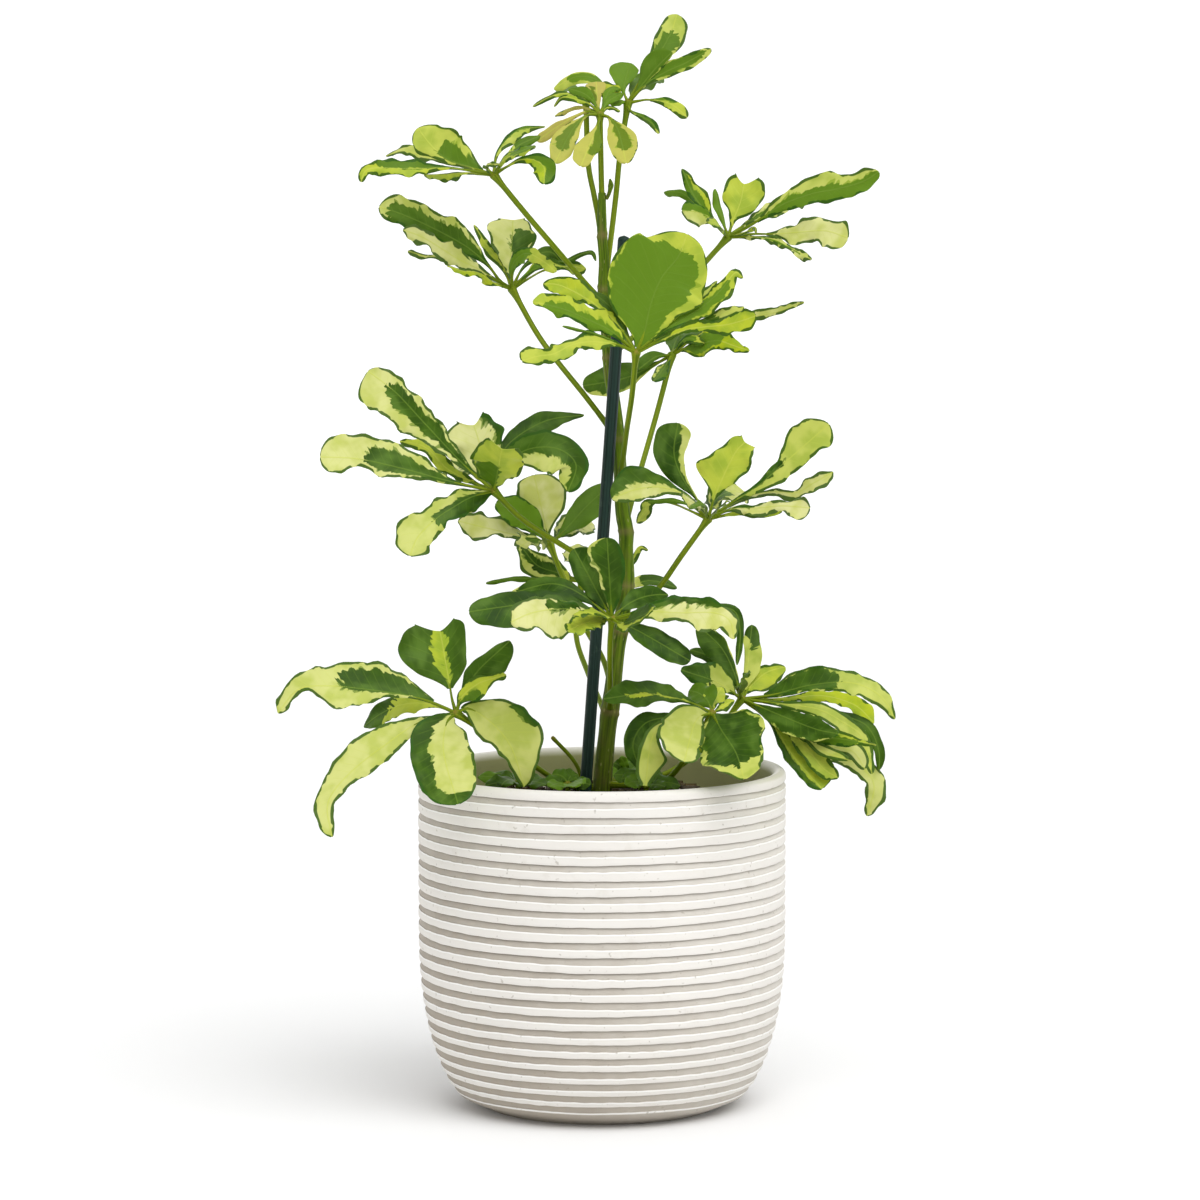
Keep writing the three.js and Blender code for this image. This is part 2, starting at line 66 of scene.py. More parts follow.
# Soil and stems
SOIL_HEIGHT = 157.0
SOIL_GAP = 0.4
SOIL_SIDES = 180
SOIL_RINGS = 56
HEAP_RADIUS = 44.0
HEAP_FALL = 9.0
LUMPS = 260
LUMP_SPREAD = (2.5, 9)
LUMP_HEIGHT = (-0.9, 1.3)
CHIPS = 620
SMALLEST_CHIP = (1.2, 0.8, 0.4)
LARGEST_CHIP = (3.4, 2.0, 1.1)
CHIP_UNEVENNESS = 0.16
CHIP_TILT = 0.35
GRIT = 36
GRIT_UNEVENNESS = 0.12
GRIT_RADIUS = (0.7, 1.4)
STEM_END_BULGE = 0.35
STAKE_RADIUS = 3.0
STAKE_FOOT_HEIGHT = 30.0
TRUNK_FOOT_HEIGHT = 105.0
TRUNK_FOOT_RADIUS = 3.5
TRUNK_POINTS = 230
TRUNK_SIDES = 28
SCAR_SWELL = 0.32
STAKE_SIDES = 36

# Leaves
STALKLET_RADIUS = 0.85
STALKLET_SHARE = 0.13
STALKLET_END = 0.92
STALKLET_POINTS = 26
STALKLET_SIDES = 8
HUB_RADIUS = 2.4
STALK_RADIUS = 1.4
STALK_FOOT_RADIUS = 2.0
STALK_POINTS = 40
STALK_SIDES = 14
MIDRIB_POINTS = 121
CURVE_STEPS = 40
WAVES = 2.4
WAVE_HEIGHT = 1.4
EDGE_SHIFT = 0.37
EDGE_DROP = 0.6
RIPPLE_LENGTH = 13
CUPPING = 0.12
TIP_CROWDING = 1.25
BLADE_END = 0.999
NOTCHED_TIP = 0.62
BLADE_THICKNESS = 0.45
BLADE_ROWS = 40
BLADE_COLUMNS = 18
VEIN_PITCH = 4.6
VEIN_SLANT = 0.8
VEIN_CURVE = 0.015
SMALL_LOBE_PITCH = 3.1

# Where a blade's half widths lie along it, its foot and its tip among them, and how they are smoothed
WIDTH_PLACES = (0, 0.15, 0.3, 0.45, 0.6, 0.75, 0.9, 1.0)
FOOT_HALF_WIDTH = 0.45
TIP_START = 0.86
TIP_LENGTH = 0.14
SMOOTHING = (0.08, 0.14, 0.18, 0.2, 0.18, 0.14, 0.08)

# How far past its stalk's end a hub's rounded end goes, and its radius there
HUB_END = ((0.7, 2.2), (1.3, 1.6), (1.7, 0.7))

# Light and backdrop, in metres and degrees
SKY_STRENGTH = 0.7
SUN_STRENGTH = 1.75
SUN_WIDTH = 50
SUN_DIRECTION = (-0.26, 0.52, -0.82)
BACKDROP_RADIUS = 4.0
BACKDROP_HEIGHT = 3.0

# What grows is set out as it is seen from the front: x to the right, z up, and the depth behind the trunk.
EYE = np.array([-1.0, -2500.0, 487.0])
AIM = np.array([-1.0, 0.0, 254.4])
AIM_SEEN = (-1.0, 262.5)
FIELD = 600.0
RIGHT = np.array([1.0, 0.0, 0.0])
FORWARD = (AIM - EYE) / np.linalg.norm(AIM - EYE)
UPWARD = np.cross(RIGHT, FORWARD)

# The trunk's middle with its radius, and the heights of its old leaf scars
TRUNK = [
    (0, 165, 4.8), (3, 200, 4.4), (4, 207, 5), (5, 215, 4.2), (8, 241, 3.9), (9, 247, 4.6),
    (10, 254, 3.7), (12, 270, 4.3), (12, 288, 3.5), (12, 297, 4.1), (10, 310, 3.5), (8, 347, 3.1),
    (4, 376, 3.1), (2, 400, 2.9), (1, 418, 3.2), (1, 432, 2.6), (0, 447, 2.6), (0, 466, 1.9),
]
SCARS = (207, 247, 270, 297, 320, 343, 384, 411, 418, 445)
BUD = ((2.2, 463, -1), (3.6, 466, -1), (4.4, 470, -1), (4.0, 473, -1))
STAKE = ((-8.4, 166, -8.6), (11, 444, -8.6))
CUT_STALK = ((-9, 160, 12), (-10, 172, 12), (-14, 182, 11), (-25, 194, 9))

# How a leaflet is marked: the dark patch's middle (-1 to 1 across, + on the left hand on the way to the
# tip), its half width, its start and end along the blade, how creamy the light part is, how dark the rim
# is, and how light the patch's green is. A half width below 0 makes a light stripe in a dark leaflet.
LOOKS = {
    "cream": (0, 0.1, 3, 4, 1.0, 1.0, 0),
    "lime": (0, 0.1, 3, 4, 0.15, 0.85, 0.5),
    "core": (0, 0.42, -0.2, 0.72, 0.8, 0.9, 0.1),
    "broad": (0, 0.64, -0.3, 0.9, 0.7, 0.8, 0.1),
    "dark": (0, 1.5, -0.5, 1.6, 0.6, 0.0, 0),
    "green": (0, 1.5, -0.5, 1.6, 0.3, 0.0, 0.6),
    "left": (0.55, 0.5, -0.2, 0.95, 0.6, 0.8, 0.1),
    "right": (-0.5, 0.5, -0.2, 0.85, 0.6, 0.8, 0.2),
    "edge": (0.8, 0.42, -0.1, 0.95, 1.0, 1.0, 0.1),
    "spot": (-0.45, 0.4, 0.3, 0.92, 0.9, 0.7, 0),
    "olive": (0, 0.3, 0.25, 0.85, 0.5, 0.1, 0.5),
    "bronze": (0, 0.1, 3, 4, 0.4, 0.1, 0.6),
    "round": (0.1, 0.84, -0.5, 0.9, 0.4, 0.6, 0.45),
    "streak": (-0.1, 0.24, -0.2, 0.5, 0.9, 1.0, 0),
    "base": (0, 0.7, -0.3, 0.5, 0.6, 0.9, 0),
    "half": (-0.35, 0.4, -0.2, 0.7, 0.95, 0.9, 0),
    "third": (-0.8, 0.45, 0.0, 1.1, 1.0, 0.6, 0),
    "split": (0.05, -0.2, -0.2, 1.3, 0.1, 0.0, 0.1),
}

# How brown the youngest leaflets are
BRONZE = {"olive": 0.6, "bronze": 0.9}

# How much lighter the green of the younger leaves is, and how creamy each leaf's light parts are
TONES = {
    "leaf_top": (0.8, 0.4), "leaf_top_back": (0.8, 0.6), "leaf_top_right": (0.6, 0.6),
    "leaf_upper_left": (0.6, 0.55), "leaf_upper_right": (0.7, 0.9), "leaf_round_front": (0.45, 0.4),
    "leaf_second_left": (0.2, 0.9), "leaf_middle_right": (0.3, 0.7), "leaf_left": (0, 1),
    "shoot_left": (0.3, 1), "shoot_front": (0.35, 1), "shoot_back": (0.3, 1), "shoot_right": (0.3, 1),
    "leaf_low_front_left": (0.1, 0.7), "leaf_low_right": (0.1, 0.7), "leaf_low_front_right": (0, 0.8),
}

# A leaflet has its tip's x and z, its tip's depth behind the hub, how far a plain one bows, its width, how
# much it faces the front (0 to 90 degrees), how wavy it is, and its look. Where more of it shows, it has the
# bends of its midrib and six half widths along its left and right hand sides. It may have a share that is
# bare stem, a notch (how far its sides reach past its tip), a cup (how much its sides rise), a dark tip
# (from what share of its length, where 2 is none), and marks that take the place of the look's first numbers.
Leaflet = namedtuple(
    "Leaflet",
    "x z depth bow width face wave look bends left right stem notch cup dark_tip marks",
    defaults=((), (), (), STALKLET_SHARE, 0, CUPPING, 2, ()),
)

# Each leaf: its stalk from the trunk to the hub, and then its leaflets
LEAVES = {
    "leaf_upper_left": [
        [(0, 411, 0), (-20, 434.5, -10), (-38, 455.5, -18), (-54, 475, -26)],
        Leaflet(-120.5, 471.5, -18, 0, 10, 66, 1.1, "left",
            bends=[(-75, 478.5), (-95, 478), (-108, 478.5), (-117.5, 477.5)], left=(0.5, 1, 3.5, 4, 3.5, 3),
            right=(0.5, 1.5, 4, 6, 4, 3), marks=(-0.75, 0.72, 0.05, 0.84, 0.2)),
        Leaflet(-92, 498.5, 7, 0, 22, 74, 1, "core", bends=[(-66, 479), (-76, 482), (-83, 487), (-89, 494)],
            left=(0.5, 0.8, 1.4, 3.5, 7.5, 6.5), right=(5.5, 11, 14.5, 14.2, 12.6, 9),
            marks=(-0.26, 0.36, -0.3, 0.7, 0.5)),
        Leaflet(-89, 475, 41, 0, 8, 66, 1.2, "lime", bends=[(-68, 476), (-80, 475)],
            left=(0.4, 0.8, 3.5, 4, 3.5, 1.5), right=(0.4, 0.6, 1, 1, 1, 0.5)),
        Leaflet(-28.5, 499.2, 24, 0, 8, 66, 0.6, "left",
            bends=[(-53, 484), (-49, 491), (-43, 496.5), (-36, 498.5)], left=(0.8, 1.2, 1.6, 2, 1.5, 0.8),
            right=(0.8, 2.5, 4.5, 4.5, 2, 0.8), marks=(0.62, 0.66, -0.3, 1.3)),
        Leaflet(-29, 470.5, -24, 0, 16, 74, 0.8, "left",
            bends=[(-48, 479), (-41, 482.5), (-34, 482.5), (-29, 478.5)], left=(0.5, 1.2, 2.5, 4.5, 6, 5.5),
            right=(0.5, 1.2, 2.5, 4, 5.5, 4.5), marks=(0.72, 0.62, 0.3, 1.5, 0)),
        Leaflet(-33.5, 489, -31, 0, 10, 62, 0.6, "lime", bends=[(-50, 481.5), (-42, 486)],
            left=(1.2, 3, 3.4, 3, 3, 2), right=(1, 1.6, 2, 2.4, 2.4, 1.4),
            marks=(0.3, 0.8, 0.4, 1.2, 0.15, 0.6, 0.6)),
        Leaflet(-108, 484.5, 46, 0, 8, 62, 1.2, "cream", bends=[(-75, 481), (-90, 484.5), (-99, 487)],
            left=(0.5, 1, 2, 2.5, 2, 1.2), right=(0.5, 1.4, 4.2, 5.8, 4.2, 2.4)),
        Leaflet(-31, 494.5, 12, 0, 8, 66, 0.6, "dark", bends=[(-48, 483), (-42, 489.5)],
            left=(0.6, 1, 1.6, 3, 2.6, 1.5), right=(0.6, 1, 2, 2.2, 2.6, 2), marks=(0, 1.3, 0.42, 1.6)),
        Leaflet(-51.5, 480.5, -14, 0, 5, 60, 0.8, "cream", bends=[(-58, 479.5)],
            left=(1, 1.5, 2, 2, 1.5, 1), right=(1, 1.2, 1.5, 1.5, 1.2, 1)),
    ],
    "leaf_second_left": [
        [(8, 343, 0), (-8, 364, 3), (-30, 392, 12), (-45, 418, 20)],
        Leaflet(-111.5, 459, -6, 0, 22, 72, 0.9, "broad",
            bends=[(-51, 422), (-57, 430), (-67, 438.5), (-78, 445), (-90, 451), (-102, 456)],
            left=(0.8, 5, 4.5, 4, 5, 6), right=(0.8, 7, 10.5, 7.5, 10, 8.5),
            marks=(0.22, 0.84, -0.3, 0.97)),
        Leaflet(-99.5, 447.5, -29, 0, 14, 72, 1.6, "cream",
            bends=[(-54, 423), (-62, 428), (-72, 433), (-80, 438), (-90, 444)],
            left=(1.5, 3.2, 5, 5.5, 3.5, 3.5), right=(1.5, 3, 6, 5, 3.5, 5)),
        Leaflet(-44.5, 452.5, 20, 0, 26, 84, 0.8, "spot", bends=[(-46, 430), (-45, 441)],
            left=(2, 4, 8, 11, 12.5, 12.5), right=(1.2, 2.5, 7, 11.5, 12.5, 9), notch=1,
            marks=(-0.42, 0.46, 0.4, 0.87)),
        Leaflet(-64, 450, 32, 0, 8, 78, 0.6, "lime", bends=[(-50, 430), (-57, 439)],
            left=(1, 2.5, 3.5, 3, 2, 1.2), right=(1, 1.6, 2.2, 2.2, 1.6, 1.2)),
        Leaflet(-23.5, 426.5, -34, 0, 9, 66, 0.8, "base", bends=[(-44.5, 430), (-38, 435.5), (-29, 431.5)],
            left=(2, 3.2, 4.2, 3.5, 3, 2.5), right=(1.6, 3.5, 4.5, 3.5, 3, 2.8),
            marks=(0, 1.4, -0.5, 0.56, 0.2, 0.4, 0.8)),
        Leaflet(-16.5, 429, 3, 0, 7, 62, 1.2, "base", bends=[(-40, 423.5), (-33, 428), (-25, 429.5)],
            left=(0.8, 1.5, 3.8, 4.4, 2.8, 1.4), right=(0.6, 0.6, 0.8, 0.8, 1.8, 1.6),
            marks=(-0.1, 0.9, -0.5, 0.7, 0.3, 0.8, 0.8)),
        Leaflet(-3, 432, 10, 0, 4, 66, 0.6, "dark",
            bends=[(-30, 430), (-18, 432), (-10, 435.5), (-5, 436.2)], left=(0.4, 0.4, 0.8, 1.1, 1.6, 1),
            right=(0.4, 0.4, 0.8, 1.6, 1.6, 1)),
        Leaflet(-80, 440, 52, 0, 9, 55, 1, "core", left=(0.4, 0.6, 2, 4, 4.5, 3),
            right=(0.4, 0.6, 2, 4, 4.5, 3)),
        Leaflet(-97, 437, -10, 0, 4, 60, 1, "cream", bends=[(-65, 428), (-80, 433.5), (-89, 434.5)],
            left=(0.5, 0.5, 0.7, 1.4, 1.7, 1.6), right=(0.5, 0.5, 0.6, 1.2, 1.6, 1.6)),
        Leaflet(-77, 429.5, -36, 0, 7, 60, 1.2, "lime", bends=[(-55, 421.5), (-62, 426), (-70, 427)],
            left=(1.8, 3.4, 3.4, 2.8, 2.2, 1.2), right=(1, 1, 1, 1, 1, 1),
            marks=(0, 0.1, 3, 4, 0.05, 0.6, 0.5)),
        Leaflet(-19, 429, 18, 0, 10, 66, 0.5, "dark", bends=[(-40, 428), (-32, 435), (-25, 436)],
            left=(0.5, 1, 2, 3, 3.2, 2.4), right=(0.5, 1, 2.6, 4.4, 4.4, 2.6)),
        Leaflet(-8, 428, 14, 0, 8, 66, 0.8, "lime", bends=[(-30, 427), (-18, 429.5)],
            left=(0.4, 0.4, 0.5, 1, 2.6, 3), right=(0.4, 0.4, 0.5, 1.4, 4, 4)),
    ],
    "leaf_top": [
        [(0, 460, 0), (-0.5, 480, 0), (-1, 505, 0)],
        Leaflet(-23.5, 481, -22, 0, 13, 76, 0.4, "olive",
            bends=[(-7, 505), (-12, 501), (-17, 494), (-20, 488)], left=(0.7, 2.6, 4.6, 5.4, 5.4, 4),
            right=(0.7, 3.2, 5.4, 6.8, 6.8, 4.4), marks=(-0.1, 0.5, -0.2, 0.82)),
        Leaflet(-10.5, 479.5, -31, 0, 12, 76, 0.4, "olive", bends=[(-2, 501), (-4.5, 494), (-7.5, 487)],
            left=(2, 4, 5.6, 5.4, 4.4, 3.4), right=(1, 3, 4.8, 6.4, 6.4, 5), marks=(0.62, 0.5, -0.3, 0.76)),
        Leaflet(12, 481, -29, 0, 14, 76, 0.4, "olive", bends=[(4, 503.5), (8, 497), (10, 490)],
            left=(1.2, 4.6, 7, 8.2, 7.6, 4.6), right=(2.4, 5, 6.4, 6.8, 6, 4.2),
            marks=(0.12, 0.44, -0.2, 0.78)),
        Leaflet(-32.5, 492, 7, 0, 6, 70, 0.4, "bronze", bends=[(-7, 506.8), (-14, 504), (-23, 498.5)],
            left=(0.6, 1, 1.6, 2.6, 3, 2.6), right=(0.6, 1, 1.6, 2.6, 2.8, 2.6)),
        Leaflet(-23.5, 504.5, 17, 0, 3, 60, 0.4, "bronze", bends=[(-6, 508), (-13, 508.7)],
            left=(0.6, 0.8, 1.1, 1.3, 1.3, 1.1), right=(0.6, 0.8, 1.1, 1.3, 1.3, 1.1)),
        Leaflet(9, 507, 10, 0, 4, 55, 0.4, "lime", bends=[(3, 508.7)], left=(0.8, 1.2, 1.5, 1.6, 1.5, 1.2),
            right=(0.6, 0.8, 1, 1, 1, 1)),
        Leaflet(-3, 521.5, 24, 0, 10, 80, 0.4, "bronze", bends=[(-2.2, 512)],
            left=(0.5, 1.2, 2.2, 3.4, 4.8, 5.8), right=(0.5, 1.2, 1.8, 2.8, 4, 5),
            marks=(0.5, 0.34, 0.2, 0.9)),
        Leaflet(-24, 509.3, 12, 0, 5, 60, 0.4, "lime", bends=[(-6, 510.3), (-14, 513), (-20, 513.6)],
            left=(0.6, 1.2, 2, 1.6, 1.2, 0.8), right=(0.6, 1.4, 2, 1.8, 1.4, 0.8)),
        Leaflet(-16.5, 518, 18, 0, 8, 66, 0.3, "dark", bends=[(-4, 511), (-9, 515.5)],
            left=(0.6, 1, 1.8, 2.6, 2.8, 2), right=(0.6, 1.6, 3, 4, 3.6, 2.2)),
        Leaflet(10.5, 516, 14, 0, 6, 66, 0.3, "dark", bends=[(3, 511.5)],
            left=(0.6, 1.4, 2.4, 2.8, 2.4, 1.4), right=(0.6, 1, 1.6, 2.2, 2.4, 1.6)),
        Leaflet(9.5, 518, 24, 0, 5, 66, 0.3, "green", bends=[(2, 514), (5, 518)],
            left=(0.5, 1, 2, 2.2, 1.8, 1.2), right=(0.5, 1, 2, 2.4, 2, 1.4)),
    ],
    "leaf_top_back": [
        [(0, 445, 0), (-4, 465, 8), (-7, 482, 14), (-8, 512, 27)],
        Leaflet(-24, 518, 6, 0, 9, 64, 0.4, "base", bends=[(0, 519), (-5, 523.4), (-14, 523.6)],
            left=(1, 2.6, 3.8, 3.8, 3.8, 3.2), right=(0.5, 1.8, 3, 2.8, 2.4, 1.8),
            marks=(-0.1, 0.7, 0.1, 0.78, 0.5, 0, 0.4)),
        Leaflet(-34.5, 509.3, -4, 0, 5, 60, 0.5, "lime", bends=[(-18, 515.6), (-26, 514)],
            left=(1, 1.3, 1.6, 1.3, 1.1, 1), right=(1, 1.6, 1.6, 1.3, 1.1, 1)),
        Leaflet(3.5, 520.5, 18, 0, 5, 60, 0.4, "bronze", bends=[(-5, 519), (0, 521)],
            left=(0.5, 1, 1.3, 1.3, 1, 0.8), right=(0.5, 1, 1.3, 1.3, 1, 0.8)),
        Leaflet(-23, 516.5, 30, 0, 8, 60, 0.5, "dark", bends=[(-14, 518)], left=(0.6, 1.5, 2.4, 3, 3, 2.4),
            right=(0.6, 1.5, 2.6, 3.4, 3.4, 3)),
        Leaflet(9, 515, -5, 4, 10, 50, 0.8, "lime"),
    ],
    "leaf_top_right": [
        [(1, 418, 0), (4, 440, 3), (7, 465, 11), (9, 485, 14), (13, 511, 18)],
        Leaflet(37.5, 555.3, 18, 0, 15, 82, 0.4, "broad", bends=[(20, 524), (28, 535), (34, 545)],
            left=(0.6, 2, 4, 6, 6.8, 5.6), right=(0.6, 2, 4, 6.6, 8.4, 7),
            marks=(-0.05, 0.64, -0.3, 0.83, 0.6)),
        Leaflet(35, 536.5, -5, 0, 12, 76, 0.3, "dark", bends=[(20, 520), (27, 528.5)],
            left=(0.8, 3.2, 6, 8, 7.6, 5), right=(0.5, 1, 1.6, 2.2, 2, 1.6), marks=(0.25, 1.05, -0.5, 1.5)),
        Leaflet(54.5, 538, -8, 0, 10, 72, 0.5, "broad", bends=[(22, 520.5), (32, 526.5), (42, 531)],
            left=(0.6, 2.2, 4.2, 4.6, 3.8, 2.4), right=(0.6, 2.2, 3.2, 3.8, 3.8, 2.8),
            marks=(0.14, 0.72, -0.3, 0.94, 0.6)),
        Leaflet(14.5, 530.8, 16, 0, 14, 76, 0.4, "green", bends=[(11, 517), (12, 524)],
            left=(0.4, 2.6, 6.2, 9, 9.4, 5.6), right=(0.4, 0.9, 2.4, 4, 5.4, 5)),
        Leaflet(42.5, 503.8, -13, 0, 8, 68, 0.4, "lime", bends=[(18, 512), (24, 512.6), (34, 510.5)],
            left=(1.6, 2.6, 3.2, 3.5, 3.4, 2.8), right=(1.2, 1.9, 2.7, 3.2, 2.8, 2.3), stem=0.35,
            marks=(0.9, 0.6, -0.2, 0.6, 0.25)),
        Leaflet(28.3, 496, -26, 0, 6, 66, 0.5, "left", bends=[(14, 507.5), (20, 504), (25, 500.5)],
            left=(0.9, 1.3, 2.2, 2.6, 2.3, 1.4), right=(0.9, 1.1, 1.4, 1.5, 1.4, 1),
            marks=(0.45, 0.75, -0.3, 0.95)),
        Leaflet(30, 525, 44, 3, 13, 50, 0.8, "dark"),
        Leaflet(4.5, 510.3, -6, 0, 6, 55, 0.3, "green", bends=[(9.5, 511.7)], left=(1, 1.6, 2, 2.2, 1.8, 1),
            right=(1, 1.6, 2.2, 2.4, 1.8, 1)),
    ],
    "leaf_upper_right": [
        [(3, 384, 0), (25, 402, 14), (45, 424, 30), (63, 444, 45)],
        Leaflet(138.5, 476.5, -12, 0, 18, 72, 0.8, "right",
            bends=[(70, 447.5), (77, 451.5), (90, 460), (105, 465.5), (118, 468), (130, 471.5)],
            left=(3.6, 6, 8.5, 10.5, 6, 6), right=(2.8, 4.4, 5.4, 6, 6, 4.6), stem=0.2,
            marks=(-0.45, 0.8, -0.5, 1.3, 0.45)),
        Leaflet(123, 443.5, -26, 0, 16, 72, 1.2, "cream",
            bends=[(75, 445.5), (87, 445.5), (100, 446.5), (112, 447)], left=(2.2, 4.4, 7, 7, 6.5, 7),
            right=(1.6, 6.4, 7, 4.8, 8.5, 9.5), stem=0.32),
        Leaflet(104.5, 432.8, -43, 0, 6, 62, 1.2, "lime", bends=[(75, 444), (86, 442.5), (95, 438)],
            left=(1.3, 1.6, 2.2, 2, 1.7, 2.2), right=(1.3, 1.6, 2.2, 2.2, 1.7, 2.4),
            marks=(-0.2, 0.22, 0.2, 0.9, 0.7)),
        Leaflet(71, 470.5, 10, 0, 24, 84, 1, "lime", bends=[(65.5, 452), (69, 461)],
            left=(1, 3.4, 7.4, 9.2, 9.6, 9), right=(1, 2, 6.6, 10.5, 11.4, 10.5), notch=5),
        Leaflet(40, 478, 17, 0, 11, 76, 0.8, "left", bends=[(57, 450), (51, 457.5), (45, 466)],
            left=(0.6, 1.2, 1.8, 2.2, 2.2, 1.5), right=(1, 3.2, 6.6, 6.6, 4.2, 2.6),
            marks=(0.4, 0.8, -0.4, 1.5, 0.1)),
        Leaflet(31, 466.3, 31, 0, 6, 66, 0.6, "dark", bends=[(50, 457), (42, 464.5), (37, 466.4)],
            left=(0.4, 0.6, 0.9, 1.4, 2.6, 2.8), right=(0.4, 0.6, 1.6, 2.4, 2.2, 1.6)),
        Leaflet(40, 457.3, -17, 0, 14, 70, 0.8, "right", bends=[(56, 452), (49, 456)],
            left=(0.6, 2, 4.4, 7.5, 8, 5), right=(0.6, 1.2, 2.4, 4.2, 5.4, 5),
            marks=(-0.62, 0.6, -0.3, 1.4, 0.8)),
        Leaflet(53, 451.5, -38, 0, 10, 66, 0.6, "lime", bends=[(58, 450)], left=(2, 3, 3.6, 4.2, 3.8, 2.4),
            right=(1, 2, 3.5, 5, 4.5, 2.5)),
        Leaflet(56.5, 468, 12, 0, 6, 72, 0.5, "green", bends=[(60.5, 452), (58, 460)],
            left=(0.8, 1.4, 2, 2.6, 2.4, 1.6), right=(0.6, 1.2, 1.4, 1.4, 1.3, 1)),
        Leaflet(104, 463, 40, 3, 9, 55, 1, "core"),
        Leaflet(77, 446.3, -20, 0, 3, 60, 0.6, "lime", bends=[(72, 446.5), (76, 448.8)],
            left=(0.5, 0.6, 0.7, 0.8, 0.9, 0.8), right=(0.5, 0.6, 0.7, 0.8, 0.9, 0.8)),
    ],
    "leaf_round_front": [
        [(9, 320, 0), (12, 345, -27), (15, 365, -51), (17, 386, -66)],
        Leaflet(42.5, 445.5, 8, 0, 50, 88, 0.25, "round",
            bends=[(21, 396), (24.5, 411), (30, 424), (38, 434)], left=(9.5, 20, 24.5, 25.6, 22, 15),
            right=(8, 13.5, 21.5, 24.5, 20, 10.5), stem=0.04, marks=(0.12, 0.82, -0.5, 0.89)),
        Leaflet(-34.5, 411.5, -18, 0, 12, 66, 1.2, "left", bends=[(5, 396.5), (-8, 403), (-20, 408)],
            left=(2, 3.4, 4, 4, 3.4, 2), right=(5, 7.6, 6.6, 7, 7.6, 5),
            marks=(0.4, 0.8, -0.3, 0.93, 0.3, 0.6, 0.8)),
        Leaflet(-29.5, 420.5, 10, 0, 12, 68, 0.8, "lime",
            bends=[(8, 400), (-2, 409), (-12, 415.5), (-22, 420)], left=(1.6, 2.2, 1.8, 2.4, 5.4, 4.2),
            right=(1.6, 2.6, 3.2, 6.4, 7, 3.6)),
        Leaflet(-40, 382, -36, 0, 10, 64, 1.2, "edge",
            bends=[(8, 390), (-5, 391.5), (-15, 390), (-24, 385.5), (-31, 384.5)],
            left=(2.2, 4.6, 2.4, 6.8, 2.6, 5.8), right=(3.8, 6.8, 2, 5.6, 2.6, 6.8),
            marks=(-0.95, 0.42, -0.1, 0.44, 0.5)),
        Leaflet(-19.5, 399.5, -20, 0, 2, 50, 0.2, "dark", bends=[(0, 394.5)],
            left=(0.3, 0.3, 0.5, 0.7, 0.8, 0.8), right=(0.3, 0.3, 0.5, 0.7, 0.8, 0.8)),
        Leaflet(70.5, 423.5, 8, 0, 10, 66, 1, "core",
            bends=[(30, 396.5), (42, 404), (52, 410.5), (60, 418), (66.5, 426)],
            left=(2.2, 4.4, 4.6, 4.2, 3.4, 2.2), right=(1.7, 3.4, 4.6, 5.8, 5.8, 2.4),
            marks=(-0.1, 0.5, -0.3, 0.86, 0.3, 0.8, 0.6)),
        Leaflet(57.5, 422, 26, 0, 6, 66, 0.8, "cream", bends=[(32, 398), (44, 408), (51, 415.5)],
            left=(0.8, 1.4, 2.6, 3.6, 3.4, 1.4), right=(0.8, 1.4, 3, 4.6, 4.4, 1.4)),
        Leaflet(77, 404.5, -26, 0, 10, 64, 1.2, "lime",
            bends=[(30, 392.5), (42, 397.5), (52, 399), (62, 400), (70, 402)],
            left=(1.2, 3, 4.2, 1.8, 4.8, 6.2), right=(1.2, 1.4, 1.8, 3, 5.8, 6.2)),
        Leaflet(71, 409, 10, 0, 5, 62, 1, "base", bends=[(35, 397), (50, 401.5), (60, 405)],
            left=(0.5, 0.6, 1.2, 2.4, 3.4, 2.4), right=(0.5, 0.6, 1.2, 2.4, 3, 2.4),
            marks=(0.2, 1, -0.5, 0.74, 0.9)),
        Leaflet(-11, 419.5, 16, 0, 6, 66, 0.3, "dark", bends=[(8, 404), (0, 412.5)],
            left=(0.9, 2.2, 3.4, 3.4, 2.4, 1.4), right=(0.9, 2.2, 3.4, 3.4, 2.4, 1.4)),
    ],
    "leaf_middle_right": [
        [(12, 303, 0), (20, 330, 18), (28, 358, 40), (35, 385, 55)],
        Leaflet(101, 411.5, 0, 0, 5, 60, 1, "cream", bends=[(45, 393), (60, 400), (78, 404.5), (88, 406.5)],
            left=(1, 1.2, 1.8, 3.2, 4, 2.4), right=(1, 1.8, 2.6, 1.8, 1.3, 1.2)),
        Leaflet(73.5, 387, -29, 0, 12, 66, 1, "core",
            bends=[(42, 388.5), (50, 390.5), (58, 392), (66, 389.5)], left=(1.7, 6, 6.4, 6.2, 4, 1.9),
            right=(4.5, 8, 6, 3.6, 3.6, 2.4), marks=(0.2, 0.8, -0.3, 0.62, 0, 0.8, 0.95)),
        Leaflet(40.5, 398, 34, 0, 8, 72, 0.4, "dark", bends=[(36.5, 391)], left=(3, 4.6, 5, 4.8, 3.8, 2.4),
            right=(1, 2, 3, 3.4, 3, 2)),
        Leaflet(26, 372, -31, 0, 8, 70, 0.4, "left", bends=[(31, 378.5)],
            left=(1.2, 2.4, 3.2, 3.8, 3.8, 2.8), right=(1, 2.2, 3.4, 3.6, 2.6, 2.2),
            marks=(0.4, 0.8, -0.5, 1.5, 0.6)),
        Leaflet(-9.5, 369.5, -8, 0, 15, 72, 0.5, "dark", bends=[(22, 378), (12, 373.5), (0, 371)],
            left=(1, 3.2, 5.4, 7.2, 7.6, 5.2), right=(2.2, 6.2, 8.4, 8.6, 7.8, 5.6),
            marks=(-0.25, 1.0, -0.5, 1.6)),
